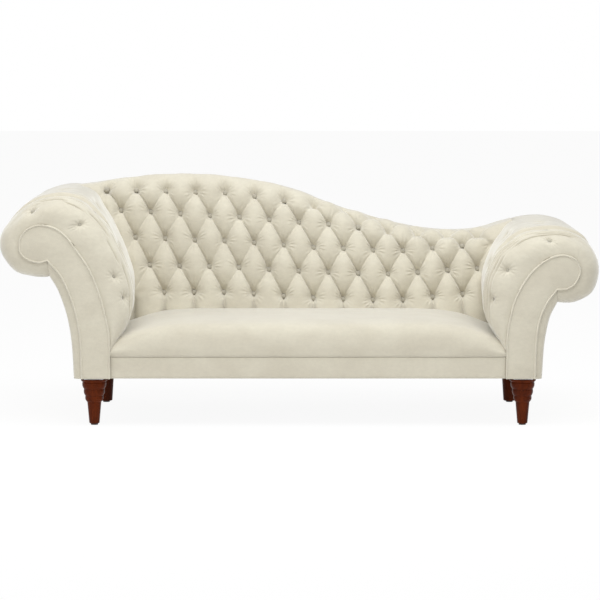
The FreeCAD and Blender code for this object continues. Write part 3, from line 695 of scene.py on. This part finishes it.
def wrap_arm(piece_name, side, scroll, rounding, steps, relief=None,
             start_depth=COVER_START, recede=0.0):
    """A cover wrapped over an arm: rounded over at its front edge, straight to the rear.

    Rows are (point, depth, way from the facing's edge, how far outwards and forwards they face).
    """
    across, turn_rows, deep_rows = steps
    board, skin, run, place = scroll_paths(side, scroll, across + 1)
    normal = roll_normal(skin, side)
    rear = outside_depth(skin[:, 1]) - COVER_GAP
    rows = []
    for angle in np.linspace(0, np.pi / 2, turn_rows + 1):
        depth = start_depth + rounding * (1 - math.cos(angle))
        at = board + (skin - board) * math.sin(angle) ** ARM_RISE
        q = np.full(across + 1, 1.5 * rounding * angle / (np.pi / 2))
        rows.append((at, np.full(across + 1, depth), q, math.sin(angle), math.cos(angle)))
    for k in range(1, deep_rows + 1):
        part = k / deep_rows
        share = 0.35 * part + 0.65 * part ** 2.6
        depth = start_depth + rounding + (rear - start_depth - rounding) * share
        q = 1.5 * rounding + depth - start_depth - rounding
        back_off = receding(side, recede, q, place)
        rows.append((skin + np.stack([back_off, 0 * back_off], axis=1), depth, q, 1.0, 0.0))
    points = []
    for at, depth, q, outward, forward in rows:
        stand = relief(run, q, place) if relief is not None else np.zeros(across + 1)
        stand = stand * ease(0.0, 0.012, q) * ease(0.0, 0.02, rear - depth)
        points.append(np.stack([
            at[:, 0] + normal[:, 0] * stand * outward,
            FRONT + depth - forward * stand,
            at[:, 1] + normal[:, 1] * stand * outward,
        ], axis=1))
    inner = board + (skin - board) * 0.004
    for depth in (rear, np.full(across + 1, start_depth)):
        points.append(np.stack([inner[:, 0], FRONT + depth, inner[:, 1]], axis=1))
    points.append(points[0].copy())
    piece = grid_piece(piece_name, across, len(points) - 1)
    place_points(piece, np.vstack(points))
    close_form(piece)
    smooth_shade(piece)
    return piece


# Buttons that show on the front roll of each arm: place along the scroll, share of the pad's
# thickness. Then the rows behind: place along the scroll for even and odd rows.
ARM_FRONT_BUTTONS = {
    "left": [(3.6, 0.63), (6.25, 0.52), (9.0, 0.65), (2.6, 0.76)],
    "right": [(4.9, 0.62), (7.9, 0.60), (3.05, 0.76)],
}
ARM_REAR_ROWS = [(0.19, (1.6, 3.0, 4.6, 6.4, 8.2)), (0.29, (2.3, 3.8, 5.5, 7.3, 9.2)),
                 (0.39, (1.6, 3.0, 4.6, 6.4, 8.2)), (0.49, (4.6, 6.4, 8.2))]
ROUNDING = 0.100
ARM_RECEDE = 0.024  # the inner side stands this far back behind the front roll


PLEAT_START, PLEAT_PITCH = 0.085, 0.0150  # long pleats behind the front buttons
PLEAT_HEIGHT = 0.0080
ARM_BUTTON_SINK = 0.0178


def arm_spots(name):
    """Arm buttons as place along the scroll and distance from the facing's edge."""
    spots = []
    for place, share in ARM_FRONT_BUTTONS[name]:
        angle = math.asin(share ** (1 / ARM_RISE))
        spots.append((place, 1.5 * ROUNDING * angle / (math.pi / 2)))
    for q, places in ARM_REAR_ROWS:
        spots.extend((place, q) for place in places)
    return spots


def arm_relief(name, run_of):
    """Relief of an arm's cover: button hollows with rays, and long pleats behind the front row."""
    spots = arm_spots(name)
    # the right arm's pleats run on, the left arm's come in short groups
    seed, fewest, most = (0, -0.15, 0.25) if name == "left" else (40, -0.45, 0.05)

    def relief(run, q, place):
        stand = 0.0030 * np.sin(np.clip(q / 0.15, 0, 1) * np.pi)
        for k, (t, depth) in enumerate(spots):
            at = run_of(t)
            dist = np.hypot(run - at, (q - depth) * 1.15)
            stand = stand - 0.0145 * np.exp(-(dist / 0.0135) ** 1.6)
            stand = stand - 0.0065 * np.exp(-(dist / 0.042) ** 1.7)
            angle = np.arctan2(q - depth, run - at)
            ring = np.exp(-((dist - 0.022) / 0.012) ** 2)
            stand = stand + 0.0010 * np.sin(angle * 11 + k * 2.1) * ring
        f = (q - PLEAT_START) / PLEAT_PITCH
        line = np.round(f)
        valley = np.exp(-(np.abs(f - line) * PLEAT_PITCH / 0.0030) ** 1.3)
        strength = np.array([noise.noise(Vector((s / 0.11, float(l) * 0.9 + seed, 2.0)))
                             for s, l in zip(run, np.broadcast_to(line, run.shape))])
        zone = ease(0.070, 0.085, q) * (1 - ease(0.185, 0.215, q))
        ends = ease(run_of(1.2), run_of(2.4), run) * (1 - ease(run_of(9.0), run_of(10.2), run))
        stand = stand - PLEAT_HEIGHT * valley * ease(fewest, most, strength) * zone * ends
        # a groove where the front roll ends, and the front roll's lower top
        groove = np.exp(-((q - 0.222) / 0.008) ** 2) * ease(run_of(2.5), run_of(3.5), run)
        stand = stand - 0.009 * groove * (1 - ease(run_of(10.5), run_of(11.5), run))
        low = ease(run_of(5.2), run_of(6.6), run) * (1 - ease(run_of(9.8), run_of(11.2), run))
        stand = stand - 0.010 * low * (1 - ease(0.205, 0.235, q)) * ease(0.03, 0.08, q)
        level = np.zeros_like(run)
        stand = stand + 0.0016 * ripple(run, np.broadcast_to(q, run.shape), level, 0.07, 5.0)
        return stand + 0.0006 * ripple(run, np.broadcast_to(q, run.shape), level, 0.02, 9.0)

    return relief


def make_arm(name):
    """One scroll arm: its padded cover, the covered buttons and the outside cover."""
    side, scroll, outside = ARMS[name]
    board, skin, run, place = scroll_paths(side, scroll, 400)

    def run_of(t):
        return float(np.interp(t, place, run))

    pad = wrap_arm(name + "_arm_cover", side, scroll, ROUNDING, (460, 84, 120),
                   arm_relief(name, run_of), recede=ARM_RECEDE)
    finish_piece(pad, [name + "_arm_pad"], velvet())
    domes = []
    normal = roll_normal(skin, side)
    for t, q in arm_spots(name):
        k = int(np.argmin(np.abs(place - t)))
        angle = min(q / (1.5 * ROUNDING), 1.0) * math.pi / 2
        depth = COVER_START + ROUNDING * (1 - math.cos(angle)) + max(q - 1.5 * ROUNDING, 0)
        at = board[k] + (skin[k] - board[k]) * math.sin(angle) ** ARM_RISE
        at[0] += receding(side, ARM_RECEDE, q, t)
        out = Vector((normal[k][0] * math.sin(angle), -math.cos(angle), normal[k][1] * math.sin(angle)))
        spot = Vector((at[0], FRONT + depth, at[1])) - out * ARM_BUTTON_SINK
        domes.append(dome("button", spot, out, look().arm_button_radius, BUTTON_HEIGHT))
    buttons = join(domes, name + "_arm_button_covers")
    # the arm buttons' velvet carries painted shade for their hollows
    finish_piece(buttons, [name + "_arm_buttons"], velvet("button_velvet", BUTTON_PAINTED_SHADE))
    cover = wrap_arm(name + "_outside_arm_cover", side, outside, 0.030, (90, 12, 40), None, 0.010)
    finish_piece(cover, [name + "_outside_arm_panel"], velvet())


def outline_points(name, step=0.006):
    """The facing's outline, from the foot up the inner side, round the scroll and down."""
    side, scroll, outside = ARMS[name]
    inner = smooth_through(scroll)[:, :2] * MM
    outer = smooth_through(outside)[:, :2] * MM
    foot_in = np.array([[inner[0][0], BODY_BOTTOM]])
    path = np.vstack([foot_in, inner, outer[1:]])
    path, length = even(path, int(np.sum(np.linalg.norm(np.diff(path, axis=0), axis=1)) / step))
    path[:, 0] *= side
    return path


def tube(name, points, radius, closed=False):
    """A piping cord's cover: a smooth tube through points, made a mesh."""
    curve = bpy.data.curves.new(name, "CURVE")
    curve.dimensions = "3D"
    curve.bevel_depth = radius
    curve.bevel_resolution = 3
    curve.use_fill_caps = True
    spline = curve.splines.new("POLY")
    spline.points.add(len(points) - 1)
    for point, co in zip(spline.points, points):
        point.co = (*co, 1.0)
    spline.use_cyclic_u = closed
    piece = bpy.data.objects.new(name, curve)
    bpy.context.scene.collection.objects.link(piece)
    clear_selection()
    piece.select_set(True)
    bpy.context.view_layer.objects.active = piece
    bpy.ops.object.convert(target="MESH")
    piece = bpy.context.active_object
    smooth_shade(piece)
    return piece


def flat_panel(name, outline, depth_of, thickness, bevel):
    """A filled outline of (x, z) with thickness and softened edges, lying on a depth rule."""
    clear_selection()
    bpy.ops.mesh.primitive_circle_add(vertices=len(outline), radius=1.0, fill_type="NGON")
    piece = bpy.context.active_object
    piece.name = name
    piece.data.name = name
    points = [(x, FRONT + depth_of(z), z) for x, z in outline]
    place_points(piece, np.array(points))
    solid = piece.modifiers.new("thick", "SOLIDIFY")
    solid.thickness = thickness
    solid.offset = 0
    soft = piece.modifiers.new("soft", "BEVEL")
    soft.width = bevel
    soft.segments = 3
    soft.limit_method = "ANGLE"
    for modifier in ("thick", "soft"):
        bpy.ops.object.modifier_apply(modifier=modifier)
    clear_selection()
    piece.select_set(True)
    bpy.context.view_layer.objects.active = piece
    bpy.ops.object.mode_set(mode="EDIT")
    bpy.ops.mesh.select_all(action="SELECT")
    bpy.ops.mesh.normals_make_consistent(inside=False)
    bpy.ops.object.mode_set(mode="OBJECT")
    bpy.ops.object.shade_smooth_by_angle(angle=math.radians(40))
    return piece


def make_facing(name):
    """The flat scroll facing with the piping round its edge."""
    outline = outline_points(name)
    panel = flat_panel(name + "_scroll_facing", outline, lambda z: 0.0075, 0.007, 0.0025)
    finish_piece(panel, [name + "_facing_panel"], velvet())
    edge = [(x, FRONT + 0.0044, z) for x, z in outline]
    piping = tube(name + "_facing_piping", edge, look().piping_radius)
    finish_piece(piping, [name + "_facing_welt"], velvet())


# The seat's drop below its full height along its length, towards the arms, in millimetres
SEAT_STATIONS = [
    (-688.7, 62.0), (-627.0, 40.0), (-560.0, 16.0), (-480.0, 3.0), (-380.0, 0.0),
    (440.0, 0.0), (520.0, 4.0), (600.0, 14.0), (670.0, 38.0), (746.7, 70.0),
]
SEAT_EDGE = 0.350
SEAT_CROWN = 0.388


def make_seat():
    """The tight seat: one crowned cover, lower at the arms, turned under above the border."""
    across = 300
    x = np.linspace(SEAT_STATIONS[0][0], SEAT_STATIONS[-1][0], across + 1) * MM
    stations = np.array(SEAT_STATIONS) * MM
    drop = np.interp(x, stations[:, 0], stations[:, 1])
    kernel = np.hanning(31)
    kernel /= kernel.sum()
    padded_drop = np.concatenate([2 * drop[0] - drop[15:0:-1], drop, 2 * drop[-1] - drop[-2:-17:-1]])
    drop = np.convolve(padded_drop, kernel, mode="valid")
    columns = []
    for k in range(across + 1):
        edge, crown = SEAT_EDGE - drop[k], SEAT_CROWN - drop[k]
        low = 0.2525
        rear = crown - 0.009
        path = [
            (0.0235, 0.2595), (0.0235, low), (0.013, low), (0.0095, low + 0.006),
            (0.0065, low * 0.55 + edge * 0.45), (0.0125, edge - 0.012), (0.030, edge + 0.012),
            (0.062, edge + 0.024), (0.130, edge + 0.032), (0.300, crown), (0.430, crown - 0.003),
            (face_depth(rear) - 0.001, rear), (face_depth(0.2595) - 0.001, 0.2595), (0.0235, 0.2595),
        ]
        head = np.array(path[:3])
        body, _ = even(smooth_through(path[2:12], 12), 96)
        columns.append(np.vstack([head[:2], body, np.array(path[12:])]))
    grid = np.array(columns).transpose(1, 0, 2)
    rows = grid.shape[0]
    X = np.broadcast_to(x, (rows, across + 1)).copy()
    depth = grid[:, :, 0]
    z = grid[:, :, 1]
    flat = X.ravel()
    swell = 0.0016 * ripple(flat, depth.ravel(), z.ravel(), 0.22, 1.5)
    swell += 0.0007 * ripple(flat, depth.ravel(), z.ravel(), 0.06, 4.5)
    row = np.repeat(np.arange(rows), across + 1)
    live = ((row > 6) & (row < rows - 5)).astype(float)
    z = z.ravel() + swell * live
    points = np.stack([flat, FRONT + depth.ravel(), z], axis=1)
    piece = grid_piece("seat_cover", across, rows - 1)
    place_points(piece, points)
    close_form(piece)
    smooth_shade(piece)
    finish_piece(piece, ["seat_pad"], velvet())
    return piece


def make_border():
    """The flat border under the seat, folded under at its bottom edge."""
    left, right = -0.6888, 0.7468
    across = 180
    path = [(0.0225, 0.252), (0.0135, 0.2515), (0.0125, 0.246), (0.0122, 0.213), (0.0126, 0.180),
            (0.0145, 0.1738), (0.0225, 0.1735), (0.0225, 0.252)]
    profile = np.vstack([path[:1], even(path[1:7], 22)[0], path[7:]])
    x = np.linspace(left, right, across + 1)
    points = []
    for depth, z in profile:
        wave = 0.0009 * ripple(x, x * 0 + z * 2.5, x * 0, 0.16, 2.2)
        points.append(np.stack([x, FRONT + depth + wave * (depth < 0.014), np.full_like(x, z)], axis=1))
    piece = grid_piece("seat_border", across, len(profile) - 1)
    place_points(piece, np.vstack(points))
    close_form(piece)
    smooth_shade(piece)
    finish_piece(piece, ["front_border"], velvet())
    return piece


def rear_outline():
    """The couch's silhouette from behind: foot, roll, hump, dip, roll and foot."""
    crest_point = {"left": 8, "right": 7}
    per_span = 16

    def side_path(name):
        side, scroll, outside = ARMS[name]
        cover = smooth_through(outside)[:, 2:4]
        roll = smooth_through(scroll)[:, 2:4]
        roll = roll[crest_point[name] * per_span:]
        path = np.vstack([roll, cover[1:]])
        path[:, 0] *= side
        return path

    left = side_path("left")[::-1]
    right = side_path("right")
    hump = smooth_through(TOP_LINE)
    hump = hump[(hump[:, 0] > left[-1][0] + 6) & (hump[:, 0] < right[0][0] - 6)]
    path = np.vstack([left, hump, right]) * MM
    return even(path, 620)[0]


def inset_path(path, amount):
    """A path moved sideways by an amount."""
    tangent = np.gradient(path, axis=0)
    tangent /= np.linalg.norm(tangent, axis=1)[:, None]
    return path + np.stack([tangent[:, 1], -tangent[:, 0]], axis=1) * amount


def make_outside_back():
    """The flat cover behind the back, with piping round its edge."""
    outline = inset_path(rear_outline(), 0.0045)
    outline[:, 1] = np.maximum(outline[:, 1], BODY_BOTTOM)
    panel = flat_panel(
        "outside_back_cover", outline, lambda z: outside_depth(z) - 0.0035, 0.006, 0.0022)
    finish_piece(panel, ["outside_back_panel"], velvet())
    edge = [(x, FRONT + outside_depth(z) - 0.0040, z) for x, z in outline]
    piping = tube("outside_back_piping", edge, 0.0036)
    finish_piece(piping, [], velvet())


def leg_profile(front):
    """Radius and height up a leg, in metres."""
    top, foot, neck = 0.168, 0.005, 0.083
    if not front:
        return [(0.0200, foot), (0.0224, 0.006), (0.0232, 0.008), (0.0320, 0.144), (0.0330, 0.148),
                (0.0356, 0.152), (0.0362, 0.156), (0.0362, top - 0.002), (0.0352, top)]
    steps = [(0.0155, foot), (0.0178, foot + 0.0008), (0.0187, foot + 0.003), (0.0253, neck)]
    beads = [(0.0256, 0.0330, 0.0318, 0.0, 0.0225), (0.0322, 0.0380, 0.0366, 0.0225, 0.0480),
             (0.0372, 0.0434, 0.0422, 0.0480, 0.0730)]
    for start, swell, end, low, high in beads:
        for k in range(13):
            t = k / 12
            rise = 1 - (1 - min(t / 0.62, 1.0)) ** 1.8
            fall = max(t - 0.80, 0.0) / 0.20
            radius = start + (swell - start) * rise - (swell - end) * fall ** 2
            steps.append((radius, neck + low + (high - low) * t))
        steps.append((end - 0.0007, neck + high + 0.0006))
    steps += [(0.0424, neck + 0.0742), (0.0462, neck + 0.0770), (0.0480, neck + 0.0800),
              (0.0480, top - 0.001), (0.0472, top)]
    return steps


# Node, x, depth behind the front plane, and whether it is a turned front leg
LEGS = [
    ("left_front_leg", -0.748, 0.062, True), ("right_front_leg", 0.808, 0.062, True),
    ("left_rear_leg", -0.748, 0.693, False), ("right_rear_leg", 0.808, 0.693, False),
]


def make_leg(node, x, depth, front):
    """A turned leg: a circle extruded and scaled up its profile."""
    profile = leg_profile(front)
    clear_selection()
    bpy.ops.mesh.primitive_circle_add(
        vertices=64, radius=profile[0][0], fill_type="NGON", location=(x, FRONT + depth, profile[0][1]))
    leg = bpy.context.active_object
    bpy.ops.object.transform_apply(location=True, rotation=True, scale=True)
    leg.name = node + "_turning"
    leg.data.name = leg.name
    bpy.ops.object.mode_set(mode="EDIT")
    bpy.ops.mesh.select_all(action="SELECT")
    for (r0, z0), (r1, z1) in zip(profile, profile[1:]):
        bpy.ops.mesh.extrude_region_move(TRANSFORM_OT_translate={"value": (0, 0, z1 - z0)})
        bpy.ops.transform.resize(value=(r1 / r0, r1 / r0, 1))
    bpy.ops.mesh.select_all(action="SELECT")
    bpy.ops.mesh.normals_make_consistent(inside=False)
    bpy.ops.object.mode_set(mode="OBJECT")
    bpy.ops.object.shade_smooth_by_angle(angle=math.radians(50))
    finish_piece(leg, [node], leg_wood())
    return leg


def dress_frame():
    """Gives every carried-over node the finish of its own slot."""
    slots = {row["node"]: row["material_slot"] for row in frame["record"]["subparts"]}
    for node, piece in frame["nodes"].items():
        if slots[node] in ("frame_wood", "webbing", "lining", "steel", "glide_plastic"):
            mat = plain_material(slots[node])
            if not piece.material_slots:
                piece.data.materials.append(mat)
            for place in piece.material_slots:
                place.material = mat


def camera_or_mirror(tree):
    """A value that is one where the camera, or a mirror of it, looks."""
    seen = tree.nodes.new("ShaderNodeLightPath")
    either = tree.nodes.new("ShaderNodeMath")
    either.operation = "MAXIMUM"
    tree.links.new(seen.outputs["Is Camera Ray"], either.inputs[0])
    tree.links.new(seen.outputs["Is Glossy Ray"], either.inputs[1])
    return either.outputs[0]


def stage_material(name, white, share):
    """Floor or backdrop finish: a share of plain white light for the camera, the rest matt paint."""
    mat = bpy.data.materials.new(name)
    mat.use_nodes = True
    tree = mat.node_tree
    shader = tree.nodes["Principled BSDF"]
    shader.inputs["Base Color"].default_value = (white, white, white, 1)
    shader.inputs["Roughness"].default_value = 0.9
    shader.inputs["Specular IOR Level"].default_value = 0.0
    glow = tree.nodes.new("ShaderNodeEmission")
    glow.inputs["Strength"].default_value = 1.0
    part = tree.nodes.new("ShaderNodeMath")
    part.operation = "MULTIPLY"
    part.inputs[1].default_value = share
    tree.links.new(camera_or_mirror(tree), part.inputs[0])
    mix = tree.nodes.new("ShaderNodeMixShader")
    tree.links.new(part.outputs[0], mix.inputs[0])
    tree.links.new(shader.outputs["BSDF"], mix.inputs[1])
    tree.links.new(glow.outputs["Emission"], mix.inputs[2])
    tree.links.new(mix.outputs["Shader"], tree.nodes["Material Output"].inputs["Surface"])
    return mat


def soft_light(name, place, target, width, height, power, shade=(1, 1, 1)):
    """A rectangular lamp that faces a point."""
    light = bpy.data.lights.new(name, "AREA")
    light.shape = "RECTANGLE"
    light.size = width
    light.size_y = height
    light.energy = power
    light.color = shade
    lamp = bpy.data.objects.new(name, light)
    lamp.location = place
    lamp.rotation_euler = (Vector(target) - Vector(place)).to_track_quat("-Z", "Y").to_euler()
    bpy.context.scene.collection.objects.link(lamp)


CAMERA_LENS = 167.45
CAMERA_PLACE = (-0.0005, -10.41, 1.4195)
CAMERA_AIM = (-0.0005, FRONT, 0.4605)


def make_stage(lamps):
    """A white floor and sky, three soft lights and the camera."""
    clear_selection()
    bpy.ops.mesh.primitive_plane_add(size=60.0, location=(0, 0, 0))
    floor = bpy.context.active_object
    floor.name = "floor"
    floor.data.materials.append(stage_material("floor_paint", 0.9, 0.93))
    scene = bpy.context.scene
    scene.view_settings.view_transform = "Standard"
    world = bpy.data.worlds.new("studio")
    world.use_nodes = True
    tree = world.node_tree
    ground = tree.nodes["Background"]
    ground.inputs["Color"].default_value = (1.0, 0.99, 0.97, 1)
    ground.inputs["Strength"].default_value = lamps.sky
    white = tree.nodes.new("ShaderNodeBackground")
    white.inputs["Strength"].default_value = 1.0
    white.inputs["Color"].default_value = (1, 1, 1, 1)
    mix = tree.nodes.new("ShaderNodeMixShader")
    tree.links.new(camera_or_mirror(tree), mix.inputs[0])
    tree.links.new(ground.outputs["Background"], mix.inputs[1])
    tree.links.new(white.outputs["Background"], mix.inputs[2])
    tree.links.new(mix.outputs["Shader"], tree.nodes["World Output"].inputs["Surface"])
    scene.world = world
    soft_light("top_light", (0.15, -1.4, 4.0), (0, 0, 0.4), 4.6, 2.4, lamps.top, (0.94, 0.97, 1.0))
    soft_light("front_light", (0.4, -6.5, 2.6), (0, 0, 0.5), 5.0, 2.5, lamps.front)
    soft_light("side_light", (-5.0, -3.2, 1.6), (-0.9, 0, 0.6), 2.5, 2.0, lamps.side)
    camera = bpy.data.cameras.new("camera")
    camera.lens = CAMERA_LENS
    camera.sensor_width = 36.0
    view = bpy.data.objects.new("camera", camera)
    view.location = CAMERA_PLACE
    aim = Vector(CAMERA_AIM) - view.location
    view.rotation_euler = aim.to_track_quat("-Z", "Y").to_euler()
    scene.collection.objects.link(view)
    scene.camera = view


def amount(name, description, default, unit="NONE"):
    """A number the panel shows."""
    return bpy.props.FloatProperty(
        name=name, description=description, default=default, min=0, unit=unit)


def tint(name, description, default):
    """A colour the panel shows."""
    return bpy.props.FloatVectorProperty(
        name=name, description=description, default=default, subtype="COLOR", min=0, max=1)


class CouchLights(bpy.types.PropertyGroup):
    """The studio's light."""
    sky: amount("Sky", "Strength of the even light from all sides", 0.53)
    top: amount("Top", "Power of the light over the couch", 165.0, "POWER")
    front: amount("Front", "Power of the light before the couch", 30.0, "POWER")
    side: amount("Side", "Power of the light left of the couch", 38.0, "POWER")


class CouchLook(bpy.types.PropertyGroup):
    """The couch's driving colours and sizes."""
    velvet_light: tint("Velvet, light", "Pile that lies towards the light", (0.588, 0.548, 0.446))
    velvet_dark: tint("Velvet, dark", "Pile that lies the other way", (0.545, 0.503, 0.406))
    wood_light: tint("Wood, light", "The legs' lighter grain", (0.120, 0.020, 0.0030))
    wood_dark: tint("Wood, dark", "The legs' darker grain", (0.060, 0.009, 0.0015))
    pillow_height: amount("Pillow height", "How full the back's diamonds are", 0.0215, "LENGTH")
    back_button_radius: amount("Back button radius", "Half a button's width", 0.0098, "LENGTH")
    arm_button_radius: amount("Arm button radius", "Half a button's width", 0.0092, "LENGTH")
    piping_radius: amount("Piping radius", "Half the facing piping's width", 0.0032, "LENGTH")


class BuildStep:
    """What the operators share: each one runs its own build."""

    def execute(self, context):
        self.build(context)
        return {"FINISHED"}


class COUCH_OT_stage(BuildStep, bpy.types.Operator):
    """Adds the floor, the studio light and the camera"""
    bl_idname = "couch.stage"
    bl_label = "Stage and camera"

    def build(self, context):
        make_stage(context.scene.couch_lights)


class COUCH_OT_back(BuildStep, bpy.types.Operator):
    """Makes the deep buttoned inside back and its covered buttons"""
    bl_idname = "couch.back"
    bl_label = "Buttoned back"

    def build(self, context):
        make_back()
        make_back_buttons()


class COUCH_OT_arms(BuildStep, bpy.types.Operator):
    """Makes the scroll arms: padded covers, buttons and outside covers"""
    bl_idname = "couch.arms"
    bl_label = "Scroll arms"

    def build(self, context):
        for name in ARMS:
            make_arm(name)


class COUCH_OT_facings(BuildStep, bpy.types.Operator):
    """Makes the flat scroll facings with their piping"""
    bl_idname = "couch.facings"
    bl_label = "Facings and piping"

    def build(self, context):
        for name in ARMS:
            make_facing(name)


class COUCH_OT_seat(BuildStep, bpy.types.Operator):
    """Makes the tight seat and the border under it"""
    bl_idname = "couch.seat"
    bl_label = "Seat and border"

    def build(self, context):
        make_seat()
        make_border()


class COUCH_OT_outside_back(BuildStep, bpy.types.Operator):
    """Makes the outside back cover and its piping"""
    bl_idname = "couch.outside_back"
    bl_label = "Outside back"

    def build(self, context):
        make_outside_back()


class COUCH_OT_legs(BuildStep, bpy.types.Operator):
    """Turns the four legs"""
    bl_idname = "couch.legs"
    bl_label = "Turned legs"

    def build(self, context):
        for leg in LEGS:
            make_leg(*leg)


class COUCH_OT_frame_finishes(BuildStep, bpy.types.Operator):
    """Gives the frame, straps, linings and fittings their finishes"""
    bl_idname = "couch.frame_finishes"
    bl_label = "Frame finishes"

    def build(self, context):
        dress_frame()


OPERATORS = (COUCH_OT_stage, COUCH_OT_back, COUCH_OT_arms, COUCH_OT_facings, COUCH_OT_seat,
             COUCH_OT_outside_back, COUCH_OT_legs, COUCH_OT_frame_finishes)

class COUCH_PT_panel(bpy.types.Panel):
    """Lists the couch's pieces"""
    bl_label = "Fainting couch"
    bl_idname = "COUCH_PT_panel"
    bl_space_type = "VIEW_3D"
    bl_region_type = "UI"
    bl_category = "Couch"

    def draw(self, context):
        for operator in OPERATORS:
            self.layout.operator(operator.bl_idname)
        for group in (context.scene.couch_look, context.scene.couch_lights):
            for label in group.__annotations__:
                self.layout.prop(group, label)


CLASSES = (CouchLights, CouchLook, *OPERATORS, COUCH_PT_panel)


def register():
    for cls in CLASSES:
        bpy.utils.register_class(cls)
    bpy.types.Scene.couch_lights = bpy.props.PointerProperty(type=CouchLights)
    bpy.types.Scene.couch_look = bpy.props.PointerProperty(type=CouchLook)


def unregister():
    del bpy.types.Scene.couch_look
    del bpy.types.Scene.couch_lights
    for cls in reversed(CLASSES):
        bpy.utils.unregister_class(cls)


def main():
    register()
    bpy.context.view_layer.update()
    for operator in OPERATORS:
        getattr(bpy.ops.couch, operator.bl_idname.split(".")[1])()


if __name__ == "__main__":
    main()
